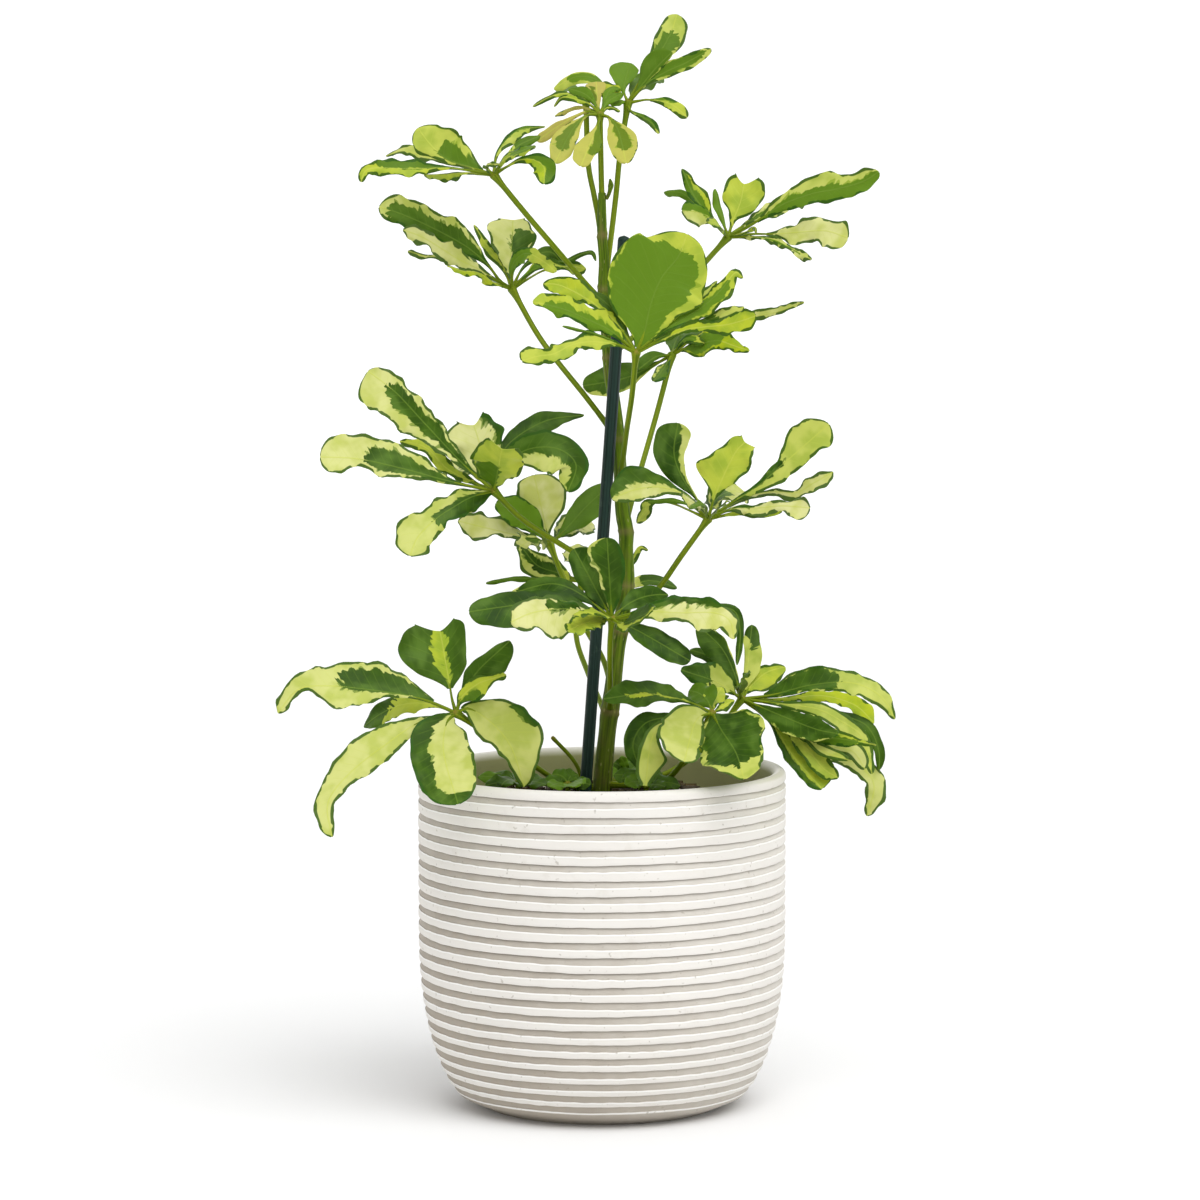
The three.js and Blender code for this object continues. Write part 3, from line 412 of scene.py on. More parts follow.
        Leaflet(18.5, 378, -16, 0, 6, 70, 0.4, "dark", bends=[(27, 384)], left=(1, 1.2, 1.4, 1.8, 1.8, 1.2),
            right=(2, 3.2, 4.4, 4.8, 4.6, 3)),
        Leaflet(51, 391, -14, 0, 6, 66, 0.6, "cream", bends=[(42, 393)], left=(0.8, 1.6, 2.2, 2.6, 2.6, 2),
            right=(0.8, 1.6, 2.2, 2.6, 2.6, 2), marks=(0, 0.7, -0.3, 0.8, 0.2, 0.9, 1)),
        Leaflet(62, 394, 50, 5, 17, 45, 2, "dark"),
    ],
    "leaf_left": [
        [(11, 268, 0), (-2, 279, 0), (-20, 290, -14), (-40, 303, -31), (-54, 317, -42)],
        Leaflet(-117, 377, 0, 0, 22, 68, 1.3, "core", bends=[(-70, 331), (-88, 350), (-103, 366)],
            left=(2.5, 5, 8, 12.5, 12.5, 16.5), right=(3, 5, 7, 6.5, 7, 7), marks=(-0.12, 0.5, -0.2, 0.86)),
        Leaflet(-141, 334, -14, 0, 24, 66, 1, "core", bends=[(-77, 322), (-99, 328), (-122, 333)],
            left=(1.5, 2.4, 5, 7.4, 2, 10.5), right=(1.5, 7, 11, 13, 12, 12),
            marks=(-0.05, 0.56, -0.2, 0.74)),
        Leaflet(-101, 342, 26, 0, 8, 62, 0.8, "lime", bends=[(-76, 327), (-88, 338.5)],
            left=(1.4, 2.4, 2.8, 2.8, 3, 2.4), right=(2, 3.4, 4, 4.6, 4.4, 2.2)),
        Leaflet(-96, 284.5, -26, 0, 18, 66, 1.3, "base",
            bends=[(-65, 314), (-74, 309), (-83, 303), (-92, 294)], left=(7.5, 7, 6, 5.5, 8, 8),
            right=(4.5, 6.5, 8.5, 7, 11.5, 10.5), stem=0.03, marks=(0.35, 0.7, -0.3, 0.64)),
        Leaflet(-64, 350, 12, 0, 28, 80, 2, "edge", left=(5, 9, 12, 13, 13.5, 14),
            right=(5, 8, 11, 13, 12.5, 9), notch=5, marks=(-0.95, 0.3, 0.5, 1.1)),
        Leaflet(-50, 338, -29, 0, 26, 72, 1.2, "lime", left=(6, 11, 14, 14, 12, 11),
            right=(3, 6, 9, 11, 12, 12), stem=0.06, notch=7, marks=(0.35, 0.5, -0.2, 0.62)),
        Leaflet(-9, 355, 29, 0, 12, 62, 0.4, "dark", bends=[(-52, 331), (-45, 342), (-28, 352)],
            left=(2, 4, 5.5, 6, 4.5, 2), right=(3, 6, 7, 6.5, 5, 1.5)),
        Leaflet(-17, 316.5, -10, 0, 20, 62, 0.8, "left",
            bends=[(-47, 331), (-36, 338), (-22, 338), (-13, 330)], left=(5, 8, 9, 8, 6, 5),
            right=(4, 10, 14, 15.5, 11.5, 6.5), marks=(0.55, 0.84, -0.3, 1.2)),
        Leaflet(-78, 330, 55, 5, 19, 50, 2, "core"),
    ],
    "leaf_right": [
        [(11, 249, 0), (28, 268, -13), (40, 285, -24), (53, 303, -32)],
        Leaflet(5, 313, -14, 0, 22, 72, 0.8, "right", bends=[(47, 311), (40, 316), (28, 319), (16, 317.5)],
            left=(0.6, 2.2, 4, 5.6, 7, 3.6), right=(0.6, 1.8, 5, 9.6, 13, 8),
            marks=(-0.72, 0.5, -0.1, 1.5, 0.9)),
        Leaflet(38, 351, 10, 0, 20, 82, 0.4, "dark", bends=[(47, 313.5), (40, 324), (36, 336)],
            left=(0.6, 3.4, 7, 9.2, 10.8, 9.5), right=(0.6, 1.6, 2.8, 4.8, 6.4, 7.5),
            marks=(0.42, 0.84, -0.5, 1.5)),
        Leaflet(71.5, 341.5, 5, 0, 22, 78, 0.9, "lime", bends=[(56, 313), (61, 325), (66.5, 336)],
            left=(0.8, 8, 16, 11, 8, 5.4), right=(0.6, 3.2, 7.2, 9.4, 10, 8.4), notch=1.5),
        Leaflet(113.5, 350.5, -5, 0, 20, 74, 0.9, "streak",
            bends=[(66, 312), (78, 319.5), (90, 330), (101, 339.5)], left=(1, 1.7, 2.6, 4.6, 12.5, 8.6),
            right=(1, 3.6, 6.6, 7.4, 6.6, 8.6), marks=(0.3, 0.4, 0.05, 0.62, 0.35)),
        Leaflet(115.5, 326.5, 14, 0, 7, 62, 1.2, "cream",
            bends=[(70, 313), (85, 316.5), (97, 316), (105, 320.5)], left=(0.9, 1.3, 1.8, 1, 4.2, 3),
            right=(0.9, 2.2, 2.2, 3.4, 4, 4.6)),
        Leaflet(104, 308.5, -26, 0, 11, 64, 1.2, "cream", bends=[(65, 308), (78, 308.5), (90, 309.5)],
            left=(0.9, 2.3, 2.3, 2.9, 3.6, 5.4), right=(1.1, 3.6, 5.8, 2.4, 3.6, 7.6),
            marks=(0.25, 0.32, 0.12, 0.42)),
        Leaflet(40, 314, -41, 0, 8, 66, 0.5, "cream", bends=[(50, 308)], left=(0.5, 1.2, 2.8, 4.4, 4.6, 4),
            right=(0.5, 1.2, 2.2, 3.4, 4, 3.6)),
        Leaflet(62.5, 312, -48, 0, 6, 60, 0.8, "cream", bends=[(57, 307.5)], left=(0.6, 1.8, 3, 3.4, 3, 2),
            right=(0.4, 0.6, 0.9, 1, 1, 1)),
        Leaflet(72, 316, 53, 6, 18, 50, 2, "core"),
        Leaflet(44, 309, -50, 0, 6, 62, 0.6, "green", bends=[(51, 310.5)],
            left=(0.6, 1.2, 1.8, 1.8, 1.4, 1.2), right=(1, 2.2, 2.8, 2.8, 1.8, 1.2)),
        Leaflet(90, 307, -12, 0, 9, 62, 0.8, "lime", bends=[(68, 306)], left=(1, 1.2, 2.4, 4, 4.6, 2.6),
            right=(0.6, 1.2, 2, 3.6, 3.6, 1.6), marks=(0, 0.1, 3, 4, 0.05, 0.6, 0.5)),
        Leaflet(23, 311.5, 6, 0, 3, 60, 0.4, "green", bends=[(45, 309.5), (35, 312.2)],
            left=(0.4, 0.6, 1, 1.5, 1.5, 1), right=(0.4, 0.6, 1.2, 1.5, 1.5, 1)),
        Leaflet(17.5, 301, 12, 0, 6, 60, 1, "lime", bends=[(35, 311), (24, 311), (21, 306)],
            left=(0.3, 0.3, 0.4, 1.2, 3.2, 3.4), right=(0.3, 0.3, 0.4, 1.2, 3, 3),
            marks=(0, 0.6, 0.45, 0.68, 0.3)),
    ],
    "leaf_low_left": [
        [(5, 220, 0), (0, 234, 15), (-8, 248, 28), (-18, 270, 42), (-26, 290, 50)],
        Leaflet(-34, 325, 6, 0, 20, 80, 1, "cream", left=(3, 6, 9, 10, 10.5, 10.5),
            right=(4, 9, 13, 15, 14.5, 10), marks=(0, 0.1, 3, 4, 1.2, 1.4)),
        Leaflet(-53, 311, -3, 0, 14, 70, 0.8, "green", bends=[(-38, 303)], left=(2.5, 5, 6.8, 7, 6.5, 4.5),
            right=(3.5, 7.5, 7.5, 8, 9, 5.5), marks=(0, 1.5, -0.5, 1.6, 0.3, 0.6, 1)),
        Leaflet(-16.5, 271, 4, 0, 4, 66, 0.6, "lime", bends=[(-22.5, 281)],
            left=(0.8, 1.6, 2.2, 2.6, 2.4, 1.6), right=(0.6, 1, 1.2, 1.2, 1.2, 1)),
        Leaflet(-72, 302, 0, 0, 14, 64, 1.6, "cream", bends=[(-40, 294), (-58, 298.5)],
            left=(1.5, 2, 1.5, 6, 8, 5), right=(3, 5, 6.5, 8, 7.5, 5)),
        Leaflet(5, 321, 21, 0, 15, 70, 0.4, "green", bends=[(-18, 298), (-8, 309)], left=(3, 5, 6, 7, 6, 4),
            right=(3, 6, 8, 9, 8, 5)),
        Leaflet(-41, 289, -31, 3, 13, 50, 2, "core"),
        Leaflet(-4, 300, 44, 4, 16, 55, 1, "core"),
    ],
    "leaf_back": [
        [(3, 203, 0), (-7, 226, 42), (-13, 246, 67), (-10, 272, 84)],
        Leaflet(-58, 271, -10, 0, 4, 50, 0.5, "green", bends=[(-30, 273), (-45, 273)],
            left=(0.5, 0.8, 1.2, 1.6, 1.6, 1.2), right=(0.5, 0.8, 1.2, 1.6, 1.6, 1.2)),
        Leaflet(-41.5, 291, 10, 0, 10, 66, 1, "streak", bends=[(-22, 276), (-32, 279.5), (-38, 286)],
            left=(2, 5, 7, 7.5, 6, 3.5), right=(2, 6, 8, 7, 5, 3), marks=(-0.05, 0.44, -0.2, 0.95, 0.5)),
        Leaflet(23, 287.5, 5, 0, 5, 62, 0.8, "lime", bends=[(6, 276), (14, 281), (19, 288)],
            left=(1, 1.6, 2.2, 2.4, 1.5, 1.5), right=(1, 1.6, 2.2, 2.4, 1.5, 1.5)),
        Leaflet(37.5, 268.5, 5, 0, 9, 60, 0.4, "dark", bends=[(10, 270), (25, 272)],
            left=(1, 2.2, 3.4, 4, 3.8, 2.6), right=(1, 2.2, 2.4, 2.4, 2.2, 1.8), marks=(0, 1.5, 0.56, 1.6)),
        Leaflet(-16, 289, 55, 4, 18, 45, 1, "core"),
        Leaflet(8, 262, 49, 6, 16, 35, 2, "core"),
        Leaflet(-32, 262, 39, 6, 16, 40, 2, "dark"),
    ],
    "leaf_front": [
        [(4, 207, 0), (4, 222, -31), (4, 240, -61), (5, 253, -76)],
        Leaflet(-14, 288, 8, 0, 17, 78, 0.6, "dark", left=(3, 5, 6, 6.5, 6, 5), right=(3, 6, 8, 9, 8, 6)),
        Leaflet(2.5, 293.5, -8, 0, 18, 86, 0.4, "broad", left=(2, 3.5, 5, 7, 10.5, 9.5),
            right=(3.5, 5.5, 7, 8, 7.5, 6), stem=0.05, marks=(-0.42, 1.12, -0.5, 1.5)),
        Leaflet(-46, 265.5, 10, 0, 12, 56, 0.5, "dark", bends=[(-10, 265), (-25, 270.5)],
            left=(2, 5, 7, 7, 6, 4), right=(1.5, 2.5, 4, 4.5, 4, 3), marks=(0, 1.5, -0.5, 0.9)),
        Leaflet(-66.5, 256.5, -8, 0, 18, 62, 0.5, "dark", bends=[(-20, 262), (-42, 260)],
            left=(3, 5, 8, 12, 12, 8), right=(3, 5, 6, 7, 7.5, 6)),
        Leaflet(-45.5, 251.5, -31, 0, 20, 72, 1.4, "cream", bends=[(-8, 257), (-22, 258), (-35, 256)],
            left=(4, 10, 15.5, 15, 10.5, 6.5), right=(2, 4, 5.5, 7, 8, 6), marks=(-0.35, 0.42, 0.25, 0.62)),
        Leaflet(-17, 247, -44, 0, 14, 60, 0.9, "lime", bends=[(-7, 251.5)], left=(3.6, 4.6, 5.4, 6, 5.4, 4),
            right=(4.4, 6.2, 6.6, 6, 5, 3.6)),
        Leaflet(-14, 254.5, -46, 0, 8, 50, 0.6, "lime", bends=[(-4, 257)], left=(5, 5, 4, 3, 2, 2),
            right=(2, 2.5, 3, 3, 2, 2)),
        Leaflet(25.5, 257.5, -46, 0, 12, 60, 0.6, "core", bends=[(10, 250.5), (18, 253.5)],
            left=(3.4, 6, 8, 8, 6.6, 4), right=(4.6, 5.8, 6, 5.6, 4.6, 3),
            marks=(0.5, 0.86, 0.12, 0.93, 0.2)),
        Leaflet(66, 243, -13, 0, 17, 62, 1.1, "edge", bends=[(20, 256.5), (40, 256), (56, 256), (64, 252)],
            left=(4, 7.5, 9.6, 7.6, 5.6, 3), right=(5, 4.4, 3.6, 11.4, 9, 5),
            marks=(0.95, 0.45, -0.3, 0.8)),
        Leaflet(67.5, 230, 4, 0, 6, 60, 0.6, "dark", bends=[(40, 258), (64, 258), (69, 247)],
            left=(0.5, 0.5, 0.5, 3, 2, 1.5), right=(0.5, 0.5, 0.5, 2, 2, 1.5)),
        Leaflet(33, 265, 23, 4, 12, 60, 0.6, "dark"),
        Leaflet(44, 232, -3, 0, 13, 62, 0.5, "dark", bends=[(20, 246)], left=(3, 5, 6, 6, 6, 5),
            right=(3.5, 5.5, 6, 6.2, 6, 5)),
    ],
    "leaf_low_front_left": [
        [(2, 169, 2), (-12, 169, 0), (-22, 172, -10), (-33, 179, -22), (-73, 206, -58)],
        Leaflet(-162, 206, -10, 0, 19, 60, 1.2, "half",
            bends=[(-90, 213), (-112, 217), (-137, 219.5), (-152, 217.5)], left=(1, 2.5, 10, 14, 0.4, 3.5),
            right=(9, 14, 14.5, 12, 8, 5), marks=(-0.3, 0.42, -0.2, 0.62)),
        Leaflet(-135, 144, -26, 0, 18, 70, 0.8, "cream",
            bends=[(-90, 202), (-107, 191), (-126, 176), (-137, 161)], left=(4.5, 6.5, 7.5, 5, 4, 2.5),
            right=(5.5, 10.5, 11.5, 9.5, 6.5, 6)),
        Leaflet(-119, 199, 29, 8, 14, 50, 1, "dark", marks=(0, 1.2, 0.66, 1.4, 0.2)),
        Leaflet(-81, 247, 14, 0, 32, 80, 0.6, "split", bends=[(-75, 213), (-76.5, 222)],
            left=(6, 13, 17.5, 21.5, 22.5, 18), right=(6, 9, 10.5, 11.5, 12, 12.5), stem=0.3, notch=5.5),
        Leaflet(-46, 242, 7, 0, 14, 66, 0.6, "dark", bends=[(-70, 214), (-62, 227)],
            left=(2, 4.5, 5.5, 4.5, 3.5, 2.5), right=(3, 5, 8, 9.5, 9.5, 6.5)),
        Leaflet(-48, 225, -6, 0, 10, 60, 1.2, "lime", bends=[(-70, 214), (-61, 221)],
            left=(3, 4, 4, 4, 3, 2), right=(4, 7, 8, 6, 3, 2), marks=(-0.7, 0.5, -0.2, 0.5)),
        Leaflet(-39, 169, -4, 0, 26, 66, 1.1, "cream", bends=[(-66, 208), (-54, 200), (-45, 188)],
            left=(8, 14, 17, 18, 12.5, 6.5), right=(7, 10.5, 8.5, 6.5, 5, 2.5), stem=0.06,
            marks=(1.05, 0.26, 0.36, 0.62, 0.8, 1.3)),
        Leaflet(-72, 160.5, -43, 0, 31, 70, 0.5, "third", bends=[(-78, 200), (-79, 185)],
            left=(11, 12, 14, 14.5, 13, 10), right=(14, 16.5, 16, 16, 15, 12), stem=0.05, dark_tip=0.87,
            marks=(-0.85, 0.42, -0.3, 1.2, 1.0, 0.9)),
    ],
    "leaf_low_front_right": [
        [(4, 170, -1), (28, 171, -18), (40, 181, -30), (55, 206, -45)],
        Leaflet(1, 213, -10, 0, 13, 58, 1, "split", bends=[(42, 212), (22, 215.5)],
            left=(1, 2, 4, 7.5, 5.5, 3.5), right=(3, 5.5, 7, 7.5, 7.5, 5.5), marks=(0.1, -0.14, -0.2, 0.8)),
        Leaflet(19.5, 177, -6, 0, 15, 64, 0.6, "dark", bends=[(38, 204.5), (22, 201), (15.5, 190)],
            left=(1.5, 3, 8, 10, 8, 3), right=(1.5, 2.2, 5.5, 5.5, 5, 2.5), cup=0.2),
        Leaflet(22, 169.5, -24, 0, 15, 64, 0.7, "lime", bends=[(38, 202.5), (27, 197), (23.5, 186)],
            left=(0.8, 1.2, 2, 5, 11, 3.5), right=(1, 2.5, 3.8, 4.5, 6, 5), notch=0.3, cup=0.3,
            marks=(0, 0.1, 3, 4, 0.5, 1.4)),
        Leaflet(41, 181.5, -43, 0, 20, 76, 1.1, "cream", bends=[(47, 202)], left=(3, 5, 6, 6.5, 6.5, 6),
            right=(8, 13.5, 16, 16.5, 14.5, 9), stem=0.06, marks=(0, 0.1, 3, 4, 0.8, 1.3)),
        Leaflet(71, 173, -50, 0, 34, 76, 0.9, "round", bends=[(60, 197), (67, 186)],
            left=(15, 20, 20.5, 14.5, 12, 9), right=(10, 13, 15.5, 18, 17, 6.5), stem=0.03,
            marks=(0.03, 0.88, -0.5, 0.82, 0.5, 0.7, 0.05)),
        Leaflet(43.5, 217, 22, 3, 15, 62, 1.2, "green"),
        Leaflet(60, 219, 26, 1, 12, 70, 2, "lime"),
        Leaflet(66, 212.5, 10, 0, 8, 62, 0.8, "lime", left=(1, 2, 2.6, 2.6, 2.2, 1.4),
            right=(1, 2, 2.6, 2.6, 2.2, 1.4)),
    ],
    "leaf_low_right": [
        [(4, 172, 3), (30, 175, 12), (52, 190, 16), (70, 213, 20)],
        Leaflet(48, 250, 14, 0, 14, 76, 0.6, "dark", bends=[(66, 226), (60, 238)],
            left=(3.5, 6, 7.5, 8.5, 8, 5), right=(1.5, 2, 3, 4, 4.5, 4), marks=(0.3, 1.15, -0.5, 1.5)),
        Leaflet(39.5, 227.5, -6, 0, 14, 64, 1.2, "base", bends=[(58, 221)], left=(3, 5, 5.5, 5, 4, 2.5),
            right=(5, 9, 9.5, 8, 7, 4), marks=(0, 1.5, 0.46, 1.6)),
        Leaflet(44, 237.5, 24, 0, 8, 66, 0.4, "dark", bends=[(62, 228), (53, 234.5)],
            left=(1, 2, 3, 3.4, 3.4, 2.4), right=(1, 2, 2.6, 3, 3.2, 2.4)),
        Leaflet(75, 250, 22, 0, 11, 78, 0.5, "lime", bends=[(72, 225)], left=(1, 1.5, 1.5, 2.5, 3.5, 3),
            right=(4, 6.4, 7.4, 6.6, 5, 4), marks=(0, 1.5, 0.72, 1.6, 0.5, 0, 0)),
        Leaflet(91.5, 229, 20, 0, 12, 62, 1, "lime", bends=[(74, 219), (82, 226)],
            left=(5, 8, 7, 4, 3.5, 3), right=(4.5, 8, 9.5, 8.5, 6, 4)),
        Leaflet(146.5, 203, -6, 0, 18, 58, 0.8, "base",
            bends=[(85, 215), (105, 220), (125, 221), (139, 214.5)], left=(8, 10.5, 8.5, 6, 5.5, 3),
            right=(2.5, 3.5, 4, 6.5, 7, 3), marks=(0.05, 0.8, -0.3, 0.54)),
        Leaflet(136, 201, 31, 0, 12, 56, 0.8, "lime", bends=[(90, 213), (110, 214.5), (126, 210)],
            left=(0.8, 2, 3, 4.2, 5, 6), right=(1, 2.2, 3.2, 3.4, 4, 3.5), marks=(0, 0.1, 3, 4, 0.05, 0.3)),
        Leaflet(135, 175.5, -20, 0, 12, 60, 0.8, "cream",
            bends=[(90, 210.5), (108, 207.8), (120, 201.5), (130, 193.5)], left=(1.6, 3.4, 5, 4, 3.5, 3),
            right=(2.2, 3.8, 5, 5.5, 4, 3), marks=(0, 0.1, 3, 4, 0.5, 1.3)),
        Leaflet(138.5, 177.5, -4, 0, 8, 60, 0.5, "dark",
            bends=[(100, 210), (127, 202.5), (135, 196), (138.5, 186)], left=(0.4, 0.4, 1, 3.2, 3.4, 3),
            right=(0.4, 0.4, 0.8, 3, 3.2, 2.2)),
        Leaflet(118, 195.5, -36, 0, 14, 60, 0.5, "dark", bends=[(85, 206.5), (97, 201.5), (108, 197.5)],
            left=(3, 4.2, 5.6, 7, 6, 3.5), right=(4.5, 6.4, 8, 8.4, 7, 4), marks=(0.05, 1.0, -0.5, 1.5)),
        Leaflet(137, 190, -40, 0, 10, 60, 0.6, "lime", bends=[(100, 193), (118, 193)],
            left=(0.5, 0.5, 2.5, 5, 4, 1.5), right=(0.5, 0.5, 0.8, 3, 4, 1.5),
            marks=(-0.35, 0.75, 0.45, 0.9)),
        Leaflet(110, 168, -31, 0, 16, 64, 0.8, "left", bends=[(84, 202), (93, 188), (101, 178)],
            left=(3, 8, 12, 13.5, 14, 13), right=(0.8, 1.6, 3.6, 4.6, 4.5, 4),
            marks=(-0.75, 0.5, -0.3, 1.2, 0.1)),
        Leaflet(118, 173.5, -34, 0, 10, 62, 0.8, "cream", bends=[(90, 203), (103, 187.5), (111, 178)],
            left=(1, 2.5, 5, 5.5, 5, 4.5), right=(1, 2, 4, 5, 5, 4), marks=(0, 0.1, 3, 4, 0.3, 0.9)),
        Leaflet(123, 182.5, -38, 0, 8, 60, 0.6, "cream", bends=[(97, 197), (108, 188.5), (115, 185)],
            left=(0.5, 0.5, 0.6, 1.6, 4, 3.5), right=(0.5, 0.5, 0.6, 1.4, 3, 2),
            marks=(0, 0.1, 3, 4, 0.7, 1.5)),
        Leaflet(131.5, 178, -30, 0, 8, 60, 0.6, "cream", bends=[(95, 198), (114, 189.5), (125, 187)],
            left=(0.5, 0.5, 0.5, 1.6, 5, 5.5), right=(0.5, 0.5, 0.5, 1, 3.5, 3.5),
            marks=(0, 0.1, 3, 4, 1, 1.5)),
        Leaflet(132.5, 154.5, -3, 0, 13, 64, 1.1, "cream",
            bends=[(95, 200), (115, 186.5), (128, 180), (136, 170)], left=(1, 1.5, 2.4, 4.6, 6.8, 5.6),
            right=(1.5, 3, 4, 4.5, 5, 3.5)),
        Leaflet(129, 183.5, -12, 0, 8, 60, 1.2, "cream", bends=[(95, 198), (112, 189)],
            left=(1, 1, 1.5, 2.5, 3, 3), right=(1, 1, 1.5, 2.5, 2.5, 2)),
        Leaflet(74, 226, -36, 3, 8, 60, 1, "green"),
    ],
    "shoot_left": [
        [(-42, 160, -22), (-42, 166, -22), (-42, 171, -22)],
        Leaflet(-62, 174, 6, 1, 8, 40, 0.5, "green"),
        Leaflet(-56, 173, 14, 2, 9, 50, 0.5, "dark"),
        Leaflet(-36, 174, 18, 2, 9, 50, 0.6, "dark"),
        Leaflet(-28, 170, -18, 1, 9, 40, 0.6, "dark"),
        Leaflet(-50, 170, -16, 2, 11, 45, 0.6, "dark"),
        Leaflet(-58, 169.5, -8, 1, 9, 40, 0.8, "dark"),
        Leaflet(-47, 175, 20, 1, 9, 50, 0.6, "dark"),
        Leaflet(-33, 171, 4, 2, 9, 45, 0.8, "green"),
        Leaflet(-54, 171, 2, 2, 9, 45, 0.8, "dark"),
        Leaflet(-40, 169.5, -22, 1, 9, 40, 0.8, "dark"),
        Leaflet(-29, 173, 20, 1, 8, 50, 0.8, "dark"),
    ],
    "shoot_front": [
        [(-17, 160, -30), (-17, 166, -30), (-17, 170, -30)],
        Leaflet(-21, 176, 12, 2, 9, 50, 0.6, "dark"),
        Leaflet(-6, 170, -6, 1, 9, 45, 0.6, "dark"),
        Leaflet(-26, 169, -14, 1, 9, 40, 0.6, "green"),
        Leaflet(-12, 175, 10, 2, 9, 55, 0.6, "dark"),
        Leaflet(-25, 175, 6, 2, 9, 50, 0.6, "dark"),
        Leaflet(-10, 170.5, -16, 1, 9, 45, 0.5, "green"),
        Leaflet(-9, 172, 14, 1, 9, 50, 0.6, "dark"),
        Leaflet(-29, 171, -2, 1, 9, 45, 0.6, "dark"),
        Leaflet(-14, 169, -20, 1, 9, 40, 0.5, "green"),
    ],
    "shoot_back": [
        [(13, 160, 22), (13, 168, 22), (12, 175, 22)],
        Leaflet(6, 181, 2, 1, 8, 60, 0.6, "dark"),
        Leaflet(20, 178, 2, 2, 9, 50, 0.6, "dark"),
        Leaflet(15, 182, 16, 2, 9, 60, 0.6, "dark"),
        Leaflet(26, 172, -8, 2, 9, 45, 0.6, "dark"),
        Leaflet(-2, 175, 10, 2, 9, 50, 0.6, "dark"),
        Leaflet(17, 175, -14, 2, 9, 50, 0.8, "dark"),
        Leaflet(27, 175, 8, 1, 9, 50, 0.8, "dark"),
        Leaflet(4, 173, -8, 2, 9, 50, 0.8, "green"),
        Leaflet(20, 180, 22, 2, 8, 50, 0.6, "dark"),
        Leaflet(9, 184, -2, 1, 5, 75, 0.6, "green"),
    ],
    "shoot_right": [
        [(22, 160, -34), (22, 165, -34), (22, 169, -34)],
        Leaflet(6, 175, 8, 2, 10, 50, 0.6, "dark"),
        Leaflet(14, 176, 14, 2, 9, 55, 0.6, "dark"),
        Leaflet(39, 169.5, 6, 2, 9, 45, 0.6, "dark"),
        Leaflet(30, 176, 14, 2, 8, 50, 0.6, "dark"),
        Leaflet(34, 172, 10, 2, 8, 50, 0.8, "dark"),
        Leaflet(31, 169, -8, 1, 9, 40, 0.8, "dark"),
        Leaflet(12, 170, -6, 2, 10, 45, 0.6, "green"),
        Leaflet(24, 173, 4, 1, 9, 50, 0.8, "dark"),
        Leaflet(10, 173, 2, 2, 9, 50, 0.8, "dark"),
    ],
}


# Shader maths
class Value:
    """A socket that can be reckoned with."""

    def __init__(self, tree, socket):
        self.tree = tree
        self.socket = socket

    def math(self, operation, *others):
        node = self.tree.nodes.new("ShaderNodeMath")
        node.operation = operation
        for slot, value in zip(node.inputs, (self, *others)):
            put(self.tree, slot, value)
        return Value(self.tree, node.outputs[0])

    def __add__(self, other):
        return self.math("ADD", other)

    __radd__ = __add__

    def __sub__(self, other):
        return self.math("SUBTRACT", other)

    def __rsub__(self, other):
        return (self * -1).math("ADD", other)

    def __mul__(self, other):
        return self.math("MULTIPLY", other)

    __rmul__ = __mul__

    def __truediv__(self, other):
        return self.math("DIVIDE", other)

    def __abs__(self):
        return self.math("ABSOLUTE")

    def least(self, other):
        return self.math("MINIMUM", other)

    def most(self, other):
        return self.math("MAXIMUM", other)


def put(tree, slot, value):
    """Links a value to a socket, or sets the socket to a number or colour."""
    if isinstance(value, Value):
        tree.links.new(value.socket, slot)
    elif isinstance(value, tuple) and len(value) == 3 and slot.type == "RGBA":
        slot.default_value = (*value, 1.0)
    else:
        slot.default_value = value


def srgb(red, green, blue):
    """A colour as a picture gives it, 0 to 255, made linear."""
    shares = [c / 255 for c in (red, green, blue)]
    return tuple(s / 12.92 if s <= 0.04045 else ((s + 0.055) / 1.055) ** 2.4 for s in shares)


